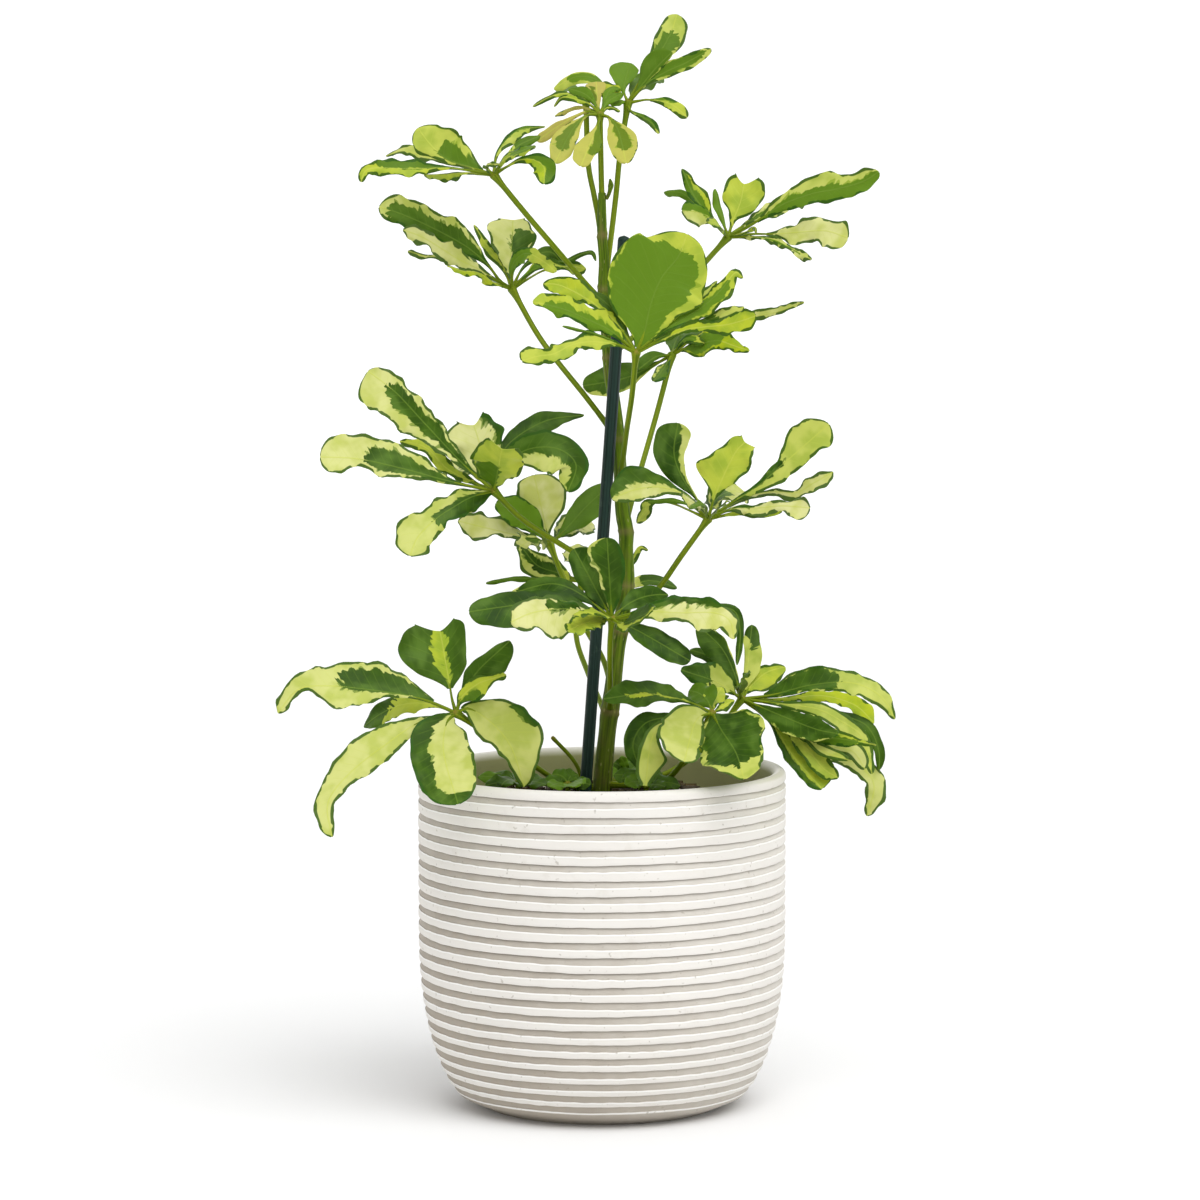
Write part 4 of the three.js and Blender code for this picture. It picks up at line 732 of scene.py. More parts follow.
class Paint:
    """One material with its nodes."""

    def __init__(self, name, **constants):
        self.material = bpy.data.materials.new(name)
        self.material.use_nodes = True
        self.tree = self.material.node_tree
        self.shader = next(n for n in self.tree.nodes if n.type == "BSDF_PRINCIPLED")
        for slot, value in constants.items():
            self.set(slot.replace("_", " "), value)

    def set(self, slot, value):
        put(self.tree, self.shader.inputs[slot], value)

    def node(self, kind, out=0, settings=None, **values):
        """Adds a node, and gives one of its outputs. Sockets are named, or numbered as in s6."""
        node = self.tree.nodes.new("ShaderNode" + kind)
        for key, value in (settings or {}).items():
            setattr(node, key, value)
        for key, value in values.items():
            place = int(key[1:]) if key[0] == "s" and key[1:].isdigit() else key.replace("_", " ")
            put(self.tree, node.inputs[place], value)
        return Value(self.tree, node.outputs[out])

    def attribute(self, name):
        """The three numbers of a point attribute."""
        vector = self.node("Attribute", "Vector", {"attribute_name": name})
        return [self.node("SeparateXYZ", axis, Vector=vector) for axis in "XYZ"]

    def place(self):
        return self.node("TexCoord", "Object")

    def vector(self, x, y, z):
        return self.node("CombineXYZ", X=x, Y=y, Z=z)

    def noise(self, vector, scale, detail=2.0, roughness=0.5, distortion=0.0):
        return self.node(
            "TexNoise", Vector=vector, Scale=scale, Detail=detail, Roughness=roughness, Distortion=distortion
        )

    def cells(self, vector, scale):
        return self.node("TexVoronoi", Vector=vector, Scale=scale)

    def smooth(self, value, low, high):
        """0 below low and 1 above high, with a soft step between."""
        return self.node(
            "MapRange",
            settings={"interpolation_type": "SMOOTHSTEP"},
            Value=value, From_Min=low, From_Max=high, To_Min=0.0, To_Max=1.0,
        )

    def mix(self, share, first, second):
        return self.node("Mix", 2, {"data_type": "RGBA"}, s0=share, s6=first, s7=second)

    def surface(self, colour, roughness, relief, strength, distance):
        """Sets the surface, its relief as deep as the distance in metres, and gives the material."""
        self.set("Base Color", colour)
        self.set("Roughness", roughness)
        self.set("Normal", self.node("Bump", Strength=strength, Distance=distance, Height=relief))
        return self.material


def chance(n):
    """A repeatable number from 0 to 1, the same as in the frame."""
    value = math.sin(n * 12.9898) * 43758.5453
    return value - math.floor(value)


def patch_shares(paint, run, vein_run, across, edge, side, seed, patch):
    """How much a point is in the dark patch, and in the middling green beside it."""
    middle, half, start, end = patch
    # lobes of the patch lie along the side veins
    reach = abs(across)
    lane = paint.vector(vein_run / VEIN_PITCH, side * 7.0 + seed * 31.0, reach * 0.11)
    other_lane = paint.vector(vein_run / SMALL_LOBE_PITCH, side * 5.0 + seed * 17.0, reach * 0.14)
    lobes = paint.noise(lane, 1.0, 2.0, 0.45, 0.4) - 0.5
    jag = paint.noise(other_lane, 1.6, 2.0) - 0.5
    width = reach + edge
    envelope = paint.smooth(run - start + lobes * 0.4, -0.08, 0.08)
    envelope = envelope * (1 - paint.smooth(run - end + lobes * 0.26 + jag * 0.1, -0.08, 0.06))
    spread = (abs(half) * (0.6 + 0.4 * envelope) - (1 - envelope) * 1.4) * width
    sway = (width * 0.9).least(8.0)
    inside = (spread - abs(across - middle * width)) * half.math("SIGN")
    inside = inside + lobes * sway + jag * sway * 0.32
    shade_lobes = paint.noise(other_lane, 0.8, 2.0, 0.45, 0.5) - 0.5
    shade = paint.smooth(inside + shade_lobes * sway * 1.4, -0.25, 0.25)
    return paint.smooth(inside, -0.25, 0.25), shade


def leaf_colours(paint, along, across, seed, cream, pale, bronze, soft):
    """The light, middling and dark colours of a leaflet, each a little cloudy, the dark one with a painted
    sheen.
    """
    lighter = paint.mix(cream, srgb(176, 190, 28), srgb(214, 215, 146))
    deeper = paint.mix(cream, srgb(148, 172, 38), srgb(196, 201, 108))
    light = paint.mix(paint.smooth(soft, 0.38, 0.66), lighter, deeper)
    light = paint.mix(bronze, light, srgb(184, 174, 88))
    middling = paint.mix(pale, srgb(98, 126, 38), srgb(138, 164, 42))
    painted_sheen = paint.noise(paint.vector(along * 0.07, across * 0.13, seed * 23.0), 1.0, 2.0)
    dark = paint.mix(paint.smooth(soft, 0.35, 0.7), srgb(38, 68, 4), srgb(58, 92, 8))
    # painted sheen: a greyish green laid over the dark patch as reflected light
    dark = paint.mix(paint.smooth(painted_sheen, 0.42, 0.72) * 0.7, dark, srgb(90, 122, 42))
    dark = paint.mix(pale, dark, srgb(98, 134, 26))
    return light, middling, paint.mix(bronze * 0.5, dark, srgb(106, 104, 22))


def rim_share(paint, along, edge, side, seed, rim):
    """How much a point is in the dark green rim, which is broken here and there."""
    patchy = paint.noise(paint.vector(along * 0.16, side * 3.0 + seed * 5.0, 0.0), 1.0, 2.0)
    width = paint.smooth((patchy - 0.5) * 3.2 + rim * 0.95 - 0.4, -0.1, 0.6) * 1.5
    border = 1 - paint.smooth(edge - width, -0.15, 0.2)
    return border * paint.smooth(width, 0.05, 0.3)


def leaf_paint():
    """Light leaflets with a dark patch, a dark rim, a pale midrib and faint side veins."""
    paint = Paint("variegated_leaf", Specular_IOR_Level=0.12)
    run, over, seed = paint.attribute("leaf_place")
    along, across, edge = paint.attribute("leaf_size")
    middle, half, start = paint.attribute("leaf_patch")
    end, cream, rim = paint.attribute("leaf_tone")
    upper, pale, bronze = paint.attribute("leaf_side")
    side = paint.smooth(over, -0.02, 0.02)
    reach = abs(across)
    vein_run = along - reach * VEIN_SLANT + reach * reach * VEIN_CURVE
    soft = paint.noise(paint.vector(along * 0.1, across * 0.1, seed * 9.0), 1.0, 2.0)

    marks = (middle, half, start, end)
    patch, shade = patch_shares(paint, run, vein_run, across, edge, side, seed, marks)
    light, middling, dark = leaf_colours(paint, along, across, seed, cream, pale, bronze, soft)
    colour = paint.mix(shade * 0.8, light, middling)
    colour = paint.mix(patch, colour, dark)
    border = rim_share(paint, along, edge, side, seed, rim)
    colour = paint.mix(border * 0.92, colour, srgb(46, 86, 14))

    row = vein_run / VEIN_PITCH + side * 0.5
    beat = row - row.math("FLOOR") - 0.5
    vein = 1 - paint.smooth(abs(beat) * VEIN_PITCH, 0.0, 0.5)
    vein = vein * paint.smooth(edge, 1.0, 5.0)
    rib = 1 - paint.smooth(reach, 0.15, 0.5)
    lines = (vein * 0.19).most(rib * 0.5)
    bright = paint.mix(patch, srgb(196, 204, 84), srgb(112, 142, 48))
    colour = paint.mix(lines, colour, bright)
    below = paint.mix(0.4, colour, srgb(150, 170, 88))
    colour = paint.mix(upper, below, colour)
    roughness = 0.42 + (1 - upper) * 0.2 + (soft - 0.5) * 0.12
    bumps = paint.noise(paint.vector(along * 0.3, across * 0.3, seed), 1.0, 2.0)
    return paint.surface(colour, roughness, bumps * 0.7 - vein * 0.22 - rib * 0.8, 0.3, 0.0005)


def stalk_paint():
    paint = Paint("leaf_stalk", Specular_IOR_Level=0.15)
    run, turn, seed = paint.attribute("leaf_place")
    streak = paint.noise(paint.vector(turn * 6.0, run * 1.6, seed * 7.0), 1.0, 3.0)
    fleck = paint.noise(paint.vector(turn * 9.0, run * 40.0, seed * 3.0), 1.0, 2.0)
    green = paint.mix(paint.smooth(streak, 0.3, 0.7), srgb(88, 112, 4), srgb(132, 150, 24))
    brown = paint.mix(paint.smooth(fleck, 0.35, 0.65), srgb(150, 128, 50), srgb(122, 116, 36))
    colour = paint.mix(paint.smooth(run, 0.93, 1.0) * 0.75, green, brown)
    colour = paint.mix((1 - paint.smooth(run, 0.0, 0.06)) * 0.5, colour, srgb(110, 112, 36))
    return paint.surface(colour, 0.42 + fleck * 0.16, streak, 0.25, 0.0004)


def bark_paint():
    paint = Paint("green_bark", Specular_IOR_Level=0.15)
    run, turn, scar = paint.attribute("leaf_place")
    streak = paint.noise(paint.vector(turn * 9.0, run * 9.0, 0.0), 1.0, 3.0)
    blotch = paint.noise(paint.vector(turn * 2.4, run * 26.0, 3.0), 1.0, 3.0)
    spots = paint.cells(paint.vector(turn * 5.0, run * 52.0, 1.0), 1.0)
    green = paint.mix(paint.smooth(streak, 0.3, 0.7), srgb(56, 84, 4), srgb(112, 140, 24))
    colour = paint.mix(paint.smooth(blotch, 0.5, 0.75) * 0.6, green, srgb(122, 116, 62))
    colour = paint.mix((1 - paint.smooth(run, 0.1, 0.5)) * 0.4, colour, srgb(84, 78, 30))
    colour = paint.mix(scar * 0.55, colour, srgb(138, 122, 76))
    dots = 1 - paint.smooth(spots, 0.08, 0.2)
    colour = paint.mix(dots * 0.5, colour, srgb(176, 172, 112))
    return paint.surface(colour, 0.48 + streak * 0.2, streak + dots * 0.6 + scar * 0.4, 0.4, 0.0006)


def stake_paint():
    paint = Paint("dark_green_plastic", Specular_IOR_Level=0.22)
    spot = paint.place()
    run, turn, _ = paint.attribute("leaf_place")
    line = paint.noise(paint.vector(turn * 24.0, run * 2.0, 0.0), 1.0, 2.0)
    scuff = paint.noise(spot, 160.0, 4.0, 0.6)
    # the lighter lengthwise streaks are a painted gloss highlight
    colour = paint.mix(paint.smooth(line, 0.3, 0.7), srgb(6, 27, 20), srgb(36, 62, 54))
    colour = paint.mix(paint.smooth(scuff, 0.62, 0.78) * 0.3, colour, srgb(84, 104, 88))
    return paint.surface(colour, 0.32 + scuff * 0.25, line + scuff * 0.4, 0.25, 0.0003)


def pot_paint():
    paint = Paint("ribbed_ceramic", Specular_IOR_Level=0.2)
    spot = paint.place()
    depth, inner, painted_shade = paint.attribute("pot_place")
    cloud = paint.noise(spot, 22.0, 3.0)
    grain = paint.noise(spot, 700.0, 3.0, 0.6)
    wash = paint.noise(spot, 95.0, 4.0, 0.6)
    specks = paint.smooth(paint.noise(spot, 420.0, 1.0), 0.7, 0.78)
    band = paint.mix(cloud, srgb(237, 234, 228), srgb(229, 225, 218))
    band = paint.mix(paint.smooth(wash, 0.58, 0.74) * 0.3, band, srgb(212, 206, 195))
    # a painted highlight along each band's top edge, where the groove mark is below 0
    band = paint.mix(1 - paint.smooth(depth, -0.6, -0.1), band, srgb(250, 249, 246))
    # painted shade: the grooves grow darker towards the left, away from the sun, and towards the bottom,
    # mottled by the wash
    painted_groove_shade = paint.smooth(painted_shade + (wash - 0.5) * 0.35, 0.0, 1.1)
    groove = paint.mix(painted_groove_shade, srgb(224, 220, 212), srgb(176, 167, 154))
    colour = paint.mix(paint.smooth(depth + (wash - 0.5) * 0.1, 0.2, 0.5), band, groove)
    # a painted shadow: a dark line at the top of each groove, under the band above, darker where the painted
    # shade is
    colour = paint.mix(paint.smooth(depth, 1.05, 1.9) * (0.5 + painted_shade * 0.4), colour, srgb(120, 110, 96))
    colour = paint.mix(specks * 0.4, colour, srgb(150, 140, 122))
    # painted light and shade in olive: green light from the leaves on one side of the rim and upper bands,
    # and the foliage's shade on the inside wall and floor
    colour = paint.mix(inner, colour, srgb(163, 163, 114))
    return paint.surface(colour, 0.62 + (wash - 0.5) * 0.25, grain * 0.5 + wash * 0.8, 0.3, 0.0006)


def soil_paint():
    paint = Paint("potting_mix", Specular_IOR_Level=0.25)
    spot = paint.place()
    lump = paint.noise(spot, 140.0, 5.0, 0.62)
    fibre = paint.noise(spot, 600.0, 3.0, 0.6)
    colour = paint.mix(paint.smooth(lump, 0.35, 0.68), srgb(30, 26, 14), srgb(62, 54, 30))
    moss = paint.smooth(paint.noise(spot, 26.0, 3.0), 0.54, 0.64)
    colour = paint.mix(moss * 0.55, colour, srgb(70, 84, 34))
    colour = paint.mix(paint.smooth(fibre, 0.68, 0.76) * 0.5, colour, srgb(128, 104, 74))
    return paint.surface(colour, 0.85 + (fibre - 0.5) * 0.2, lump + fibre * 0.4, 0.8, 0.002)


def chip_paint():
    paint = Paint("bark_chips", Specular_IOR_Level=0.25)
    spot = paint.place()
    grain = paint.noise(spot, 380.0, 4.0, 0.6)
    tone = paint.noise(spot, 60.0, 1.0)
    colour = paint.mix(paint.smooth(tone, 0.35, 0.65), srgb(46, 38, 20), srgb(84, 70, 38))
    colour = paint.mix(paint.smooth(grain, 0.5, 0.75) * 0.5, colour, srgb(34, 24, 16))
    return paint.surface(colour, 0.8 + (grain - 0.5) * 0.2, grain, 0.6, 0.001)


def grit_paint():
    paint = Paint("pale_grit", Specular_IOR_Level=0.25)
    spot = paint.place()
    grain = paint.noise(spot, 900.0, 3.0, 0.6)
    colour = paint.mix(paint.smooth(grain, 0.4, 0.7), srgb(216, 210, 192), srgb(176, 166, 142))
    return paint.surface(colour, 0.8 + (grain - 0.5) * 0.2, grain, 0.6, 0.0006)


# Meshes
def add_object(name, data):
    thing = bpy.data.objects.new(name, data)
    bpy.context.scene.collection.objects.link(thing)
    return thing


class Shape:
    """Gathers points, faces and point attributes of one piece."""

    def __init__(self):
        self.points = []
        self.quads = []
        self.triangles = []
        self.quad_slots = []
        self.triangle_slots = []
        self.attributes = {}
        self.count = 0

    def add(self, points, quads, triangles=None, slot=0, **attributes):
        points = np.asarray(points).reshape(-1, 3)
        self.quads.append(np.asarray(quads) + self.count)
        self.quad_slots.append(np.full(len(quads), slot))
        if triangles is not None:
            self.triangles.append(triangles + self.count)
            self.triangle_slots.append(np.full(len(triangles), slot))
        for name, values in attributes.items():
            values = np.broadcast_to(values, (len(points), 3))
            self.attributes.setdefault(name, []).append((self.count, values))
        self.points.append(points)
        self.count += len(points)

    def build(self, name, materials, body="root", crease=50):
        """Makes the piece, with hard edges where its faces meet at more than the crease angle."""
        points = np.concatenate(self.points) * MM
        quads = np.concatenate(self.quads)
        triangles = np.concatenate(self.triangles)
        mesh = bpy.data.meshes.new(name)
        mesh.vertices.add(len(points))
        mesh.vertices.foreach_set("co", points.astype(np.float32).ravel())
        corners = np.concatenate([quads.ravel(), triangles.ravel()])
        mesh.loops.add(len(corners))
        mesh.loops.foreach_set("vertex_index", corners.astype(np.int32))
        starts = np.concatenate([np.arange(len(quads)) * 4, len(quads) * 4 + np.arange(len(triangles)) * 3])
        mesh.polygons.add(len(starts))
        mesh.polygons.foreach_set("loop_start", starts.astype(np.int32))
        slots = np.concatenate([*self.quad_slots, *self.triangle_slots])
        for material in materials:
            mesh.materials.append(material)
        mesh.polygons.foreach_set("material_index", slots.astype(np.int32))
        mesh.update(calc_edges=True)
        mesh.validate()
        mesh.polygons.foreach_set("use_smooth", np.ones(len(mesh.polygons), bool))
        mesh.set_sharp_from_angle(angle=math.radians(crease))
        for key, parts in self.attributes.items():
            values = np.zeros((self.count, 3), np.float32)
            for start, part in parts:
                values[start : start + len(part)] = part
            layer = mesh.attributes.new(key, "FLOAT_VECTOR", "POINT")
            layer.data.foreach_set("vector", values.ravel())
        piece = add_object(name, mesh)
        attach(piece, body)
        return piece


def ring_quads(rings, sides, closed=True):
    """Faces between rings of points that follow each other."""
    row = np.arange(rings - 1)[:, None] * sides
    turn = np.arange(sides if closed else sides - 1)[None, :]
    after = (turn + 1) % sides
    return np.stack([row + turn, row + after, row + sides + after, row + sides + turn], -1).reshape(-1, 4)


def all_round(count):
    """Even angles all round a circle."""
    return np.linspace(0, 2 * np.pi, count, endpoint=False)


def ring_points(radius, angle, z):
    """Points round the upright axis."""
    return np.stack(np.broadcast_arrays(radius * np.cos(angle), radius * np.sin(angle), z), -1)


def end_caps(rings, sides):
    """Fans that close a stack of rings at both ends, round two points that follow the rings."""
    turn = np.arange(sides)
    after = (turn + 1) % sides
    first = np.full(sides, rings * sides)
    last = (rings - 1) * sides
    low = np.stack([first, after, turn], 1)
    high = np.stack([first + 1, last + turn, last + after], 1)
    return np.concatenate([low, high])


def seen(point):
    """Where a point lies that is seen from the front at x and z, at a depth behind the trunk."""
    x, z, depth = point
    ray = FORWARD * np.linalg.norm(AIM - EYE) + RIGHT * (x - AIM_SEEN[0]) + UPWARD * (z - AIM_SEEN[1])
    return EYE + ray * ((depth - EYE[1]) / ray[1])


def unit(vectors):
    return vectors / np.maximum(np.linalg.norm(vectors, axis=-1, keepdims=True), 1e-9)


def gone_along(points):
    """How far along a line each of its points lies."""
    return np.concatenate([[0], np.cumsum(np.linalg.norm(np.diff(points, axis=0), axis=1))])


def spline(points, count):
    """Points along a smooth curve through the given ones, and the share of its length at each."""
    points = np.asarray(points, float)
    padded = np.vstack([2 * points[0] - points[1], points, 2 * points[-1] - points[-2]])
    t = np.linspace(0, 1, CURVE_STEPS, endpoint=False)[:, None]
    places = []
    for a, b, c, d in zip(padded, padded[1:], padded[2:], padded[3:]):
        places.append(
            0.5 * (2 * b + (c - a) * t + (2 * a - 5 * b + 4 * c - d) * t**2 + (3 * b - a - 3 * c + d) * t**3)
        )
    places = np.vstack([*places, points[-1:]])
    gone = gone_along(places)
    shares = np.linspace(0, 1, count)
    return np.stack([np.interp(shares * gone[-1], gone, places[:, k]) for k in range(3)], 1), shares


def directions_along(points):
    """A line's direction at each point, and two directions square to it that don't twist."""
    ahead = unit(np.gradient(points, axis=0))
    side = np.cross(ahead[0], [0.0, 1.0, 0.0])
    if np.linalg.norm(side) < 0.2:
        side = np.cross(ahead[0], [1.0, 0.0, 0.0])
    side = unit(side)
    sides = []
    for direction in ahead:
        side = unit(side - direction * np.dot(side, direction))
        sides.append(side)
    return ahead, np.array(sides), np.cross(ahead, sides)


def tube(shape, points, radii, sides, third=0.0, slot=0):
    """A round closed stem along the points, with rounded ends. Its paint reads third, one number or a row."""
    ahead, side, other = directions_along(points)
    angle = all_round(sides)
    if radii.ndim == 1:
        radii = np.repeat(radii[:, None], sides, 1)
    ring = (
        points[:, None]
        + side[:, None] * (np.cos(angle)[None, :, None] * radii[:, :, None])
        + other[:, None] * (np.sin(angle)[None, :, None] * radii[:, :, None])
    )
    rings = len(points)
    low = points[0] - ahead[0] * radii[0].mean() * STEM_END_BULGE
    high = points[-1] + ahead[-1] * radii[-1].mean() * STEM_END_BULGE
    places = np.vstack([ring.reshape(-1, 3), low, high])
    run = np.repeat(np.linspace(0, 1, rings), sides)
    around = np.tile(np.abs(np.linspace(-1, 1, sides, endpoint=False)), rings)
    third = np.broadcast_to(third, rings)
    marks = np.stack([run, around, np.repeat(third, sides)], 1)
    marks = np.vstack([marks, [0, 0, third[0]], [1, 0, third[-1]]])
    shape.add(places, ring_quads(rings, sides), end_caps(rings, sides), slot, leaf_place=marks)


# Leaves
def midrib(hub, part):
    """A leaflet's middle line: through its bends where it has them, otherwise one plain curve."""
    x, z, depth, bow = part[:4]
    if part.bends:
        through = [hub[:2], *part.bends, (x, z)]
        gone = np.cumsum([0.0, *(math.dist(a, b) for a, b in zip(through, through[1:]))])
        deep = hub[2] + depth * gone / gone[-1]
        return spline([seen((*p, d)) for p, d in zip(through, deep)], MIDRIB_POINTS)[0]
    run = x - hub[0]
    rise = z - hub[1]
    lean = (1 if run >= 0 else -1) / math.hypot(run, rise)
    middle_x = (hub[0] + x) / 2 - rise * lean * bow
    middle_z = (hub[1] + z) / 2 + run * lean * bow
    start = seen(hub)
    via = seen((middle_x, middle_z, hub[2] + depth / 2))
    end = seen((x, z, hub[2] + depth))
    pull = via * 2 - start * 0.5 - end * 0.5
    t = np.linspace(0, 1, MIDRIB_POINTS)[:, None]
    return start * (1 - t) ** 2 + pull * 2 * t * (1 - t) + end * t**2


def along_curve(curve, shares):
    """Points and directions at shares of the way along a curve."""
    steps = np.linspace(0, 1, len(curve))
    ahead = unit(np.gradient(curve, axis=0))
    places = np.stack([np.interp(shares, steps, curve[:, k]) for k in range(3)], 1)
    return places, unit(np.stack([np.interp(shares, steps, ahead[:, k]) for k in range(3)], 1))


def blade_directions(ahead, face):
    """The upward and sideways directions of a leaflet along its midrib."""
    lean = math.radians(face)
    sky = np.array([0.0, -math.sin(lean), math.cos(lean)])
    normal = unit(sky - ahead * (ahead @ sky)[:, None])
    return normal, np.cross(normal, ahead)


def outline(q, wave):
    """How wide a plain blade is along its length, 0 to 1: an ellipse where smooth, a spoon where wavy."""
    widest = 0.58 + 0.03 * wave
    rise = np.sin(np.pi / 2 * np.minimum(1, q / widest)) ** (1.0 + 0.06 * wave)
    fall = (1 - np.clip((q - widest) / (1 - widest), 0, 1) ** 2.1) ** (0.62 - 0.03 * wave)
    return np.where(q < widest, rise, fall)


def side_width(widths, q, blunt):
    """A blade's half width along one side, from six widths and a rounded tip."""
    tension = np.interp(q, WIDTH_PLACES, [FOOT_HALF_WIDTH, *widths, widths[-1]])
    smooth = np.convolve(np.pad(tension, 3, "edge"), SMOOTHING, "valid")
    tip = np.clip((q - TIP_START) / TIP_LENGTH, 0, 1)
    return smooth * np.maximum(blunt, (1 - tip**2.2) ** 0.55)


def half_widths(part, q):
    """The half widths along the left and right hand sides, as given or as a plain outline."""
    blunt = NOTCHED_TIP if part.notch else 0.0
    plain = np.maximum(part.width / 2 * outline(q, part.wave), FOOT_HALF_WIDTH)
    return [side_width(side, q, blunt) if side else plain for side in (part.left, part.right)]


def by_side(over, left, right):
    """Two lines of values, one for each side, spread over a blade's grid."""
    return np.where(over[None, :] > 0, left[:, None], right[:, None])


def ripples(q, seed, turns):
    """An uneven waving line along an edge."""
    phase = [chance(seed + 0.17 * k) for k in range(3)]
    return (
        0.6 * np.sin(2 * np.pi * (turns * q + phase[0]))
        + 0.4 * np.sin(2 * np.pi * (turns * 1.63 * q + phase[1]))
        + 0.25 * np.sin(2 * np.pi * (turns * 2.41 * q + phase[2]))
    )


def blade_relief(part, seed, q, over, half, length):
    """How far each point of a blade moves ahead, sideways and up, by its notch, scallops, waves and cup."""
    reach = np.abs(over)
    turns = length / RIPPLE_LENGTH
    fine = by_side(over, ripples(q, seed + 9, turns), ripples(q, seed, turns))
    scallop = by_side(over, ripples(q, seed + 6, turns * 0.8), ripples(q, seed + 4, turns * 0.8))
    phase = np.where(over < 0, EDGE_SHIFT, 0)[None, :]
    turn = 2 * np.pi * (WAVES * q[:, None] + chance(seed) + phase)
    size = WAVE_HEIGHT * part.wave * np.minimum(1, half / (part.width * 0.3))
    lift = size * np.sin(turn) * reach**2.2 * 0.7 + part.cup * half * over**2
    lift = lift + (0.6 * size * fine - EDGE_DROP) * reach**4
    room = np.minimum(1, half / 4)
    scallop = (0.08 + 0.7 * part.wave**1.5) * room * scallop * np.minimum(1, 3 * q)[:, None] * reach**3
    notch = part.notch * np.clip((q - 0.45) / 0.5, 0, 1)[:, None] ** 1.5 * reach**1.5
    return notch, over[None, :] * half + np.sign(over)[None, :] * scallop, lift


def blade_faces(rows, columns):
    """Faces of a blade's upper side and underside, and of the strip that joins them all round."""
    upper = ring_quads(rows, columns, closed=False)
    count = rows * columns
    loop = np.concatenate(
        [
            np.arange(columns),
            np.arange(1, rows) * columns + columns - 1,
            (rows - 1) * columns + np.arange(columns - 2, -1, -1),
            np.arange(rows - 2, 0, -1) * columns,
        ]
    )
    after = np.roll(loop, -1)
    strip = np.stack([after, loop, loop + count, after + count], 1)
    return np.vstack([upper, upper[:, ::-1] + count, strip])


def blade_marks(part, seed, tone, q, over, half, length):
    """What the paint reads at each point of a blade, first above and then below."""
    centre, reach, start, end, cream, rim, pale = part.marks + LOOKS[part.look][len(part.marks) :]
    younger, creamier = tone
    columns = len(over)
    count = half.size
    run = np.repeat(q, columns)
    across = np.tile(over, len(q))
    width = half.ravel()
    place = np.stack([run, across, np.full(count, chance(seed * 1.7))], 1)
    size = np.stack([np.repeat(length, columns), across * width, (1 - np.abs(across)) * width], 1)
    patch = np.tile((centre, reach, start), (count, 1)).astype(float)
    patch[:, 1] += 2 * np.clip((run - part.dark_tip) / 0.07, 0, 1)
    side = np.tile((0.0, min(1, pale + younger), BRONZE.get(part.look, 0)), (2 * count, 1))
    side[:count, 0] = 1
    both = (2, 1)
    return {
        "leaf_place": np.tile(place, both),
        "leaf_size": np.tile(size, both),
        "leaf_patch": np.tile(patch, both),
        "leaf_tone": (end, cream * creamier, rim),
        "leaf_side": side,
    }


def blade(shape, curve, part, seed, tone):
    """A leaflet's blade, a thin closed sheet."""
    k = np.linspace(0, 1, BLADE_ROWS + 1)
    q = (1 - (1 - k) ** TIP_CROWDING) * BLADE_END
    over = np.linspace(-1, 1, BLADE_COLUMNS + 1)
    over = np.sign(over) * np.abs(over) ** 0.8
    middle, ahead = along_curve(curve, part.stem + (1 - part.stem) * q)
    normal, across = blade_directions(ahead, part.face)
    half = by_side(over, *half_widths(part, q))
    length = gone_along(middle)
    forward, sideways, lift = blade_relief(part, seed, q, over, half, length[-1])
    places = (
        middle[:, None]
        + ahead[:, None] * forward[:, :, None]
        + across[:, None] * sideways[:, :, None]
        + normal[:, None] * lift[:, :, None]
    )
    outward = unit(np.cross(np.gradient(places, axis=1), np.gradient(places, axis=0)))
    outward *= np.sign((outward * normal[:, None]).sum(-1, keepdims=True) + 1e-9)
    thick = BLADE_THICKNESS * (1 - 0.5 * over**4)[None, :, None]
    sheet = np.stack([places + outward * thick / 2, places - outward * thick / 2])
    marks = blade_marks(part, seed, tone, q, over, half, length)
    shape.add(sheet, blade_faces(*half.shape), **marks)


def stalklet(shape, curve, part, seed):
    """A leaflet's own stem, which runs on under the blade as its midrib."""
    run = np.linspace(0, STALKLET_END, STALKLET_POINTS)
    spine, ahead = along_curve(curve, run)
    normal, _ = blade_directions(ahead, part.face)
    radii = [STALKLET_RADIUS * 1.15, STALKLET_RADIUS, 0.6, 0.16]
    radii = np.interp(run, [0, 0.1, 0.2, STALKLET_END], radii)
    sink = np.interp(run, [0, part.stem, part.stem + 0.15, STALKLET_END], [0.0, 0.1, 0.42, 0.24])
    tube(shape, spine - normal * sink[:, None], radii, STALKLET_SIDES, chance(seed), slot=1)


def leaf(name, order):
    """One compound leaf: its stalk with a swollen hub, and its leaflets round it."""
    path, *leaflets = LEAVES[name]
    shape = Shape()
    points, shares = spline([seen(p) for p in path], STALK_POINTS)
    radii = STALK_RADIUS + np.maximum(0, 1 - shares * 6) * (STALK_FOOT_RADIUS - STALK_RADIUS)
    radii = radii + np.clip(shares * 9 - 8, 0, 1) ** 2 * (HUB_RADIUS - STALK_RADIUS)
    past_end, end_radii = np.transpose(HUB_END)
    ending = points[-1] + unit(points[-1] - points[-2]) * past_end[:, None]
    points = np.vstack([points, ending])
    radii = np.concatenate([radii, end_radii])
    tube(shape, points, radii, STALK_SIDES, chance(order), slot=1)
    for i, part in enumerate(leaflets):
        seed = order * 20 + i + 1
        curve = midrib(path[-1], part)
        blade(shape, curve, part, seed, TONES.get(name, (0, 1)))
        stalklet(shape, curve, part, seed)
    piece = shape.build(name.replace("leaf", "foliage").replace("shoot", "young_shoot"), [LEAF, STALK])
    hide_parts(name)


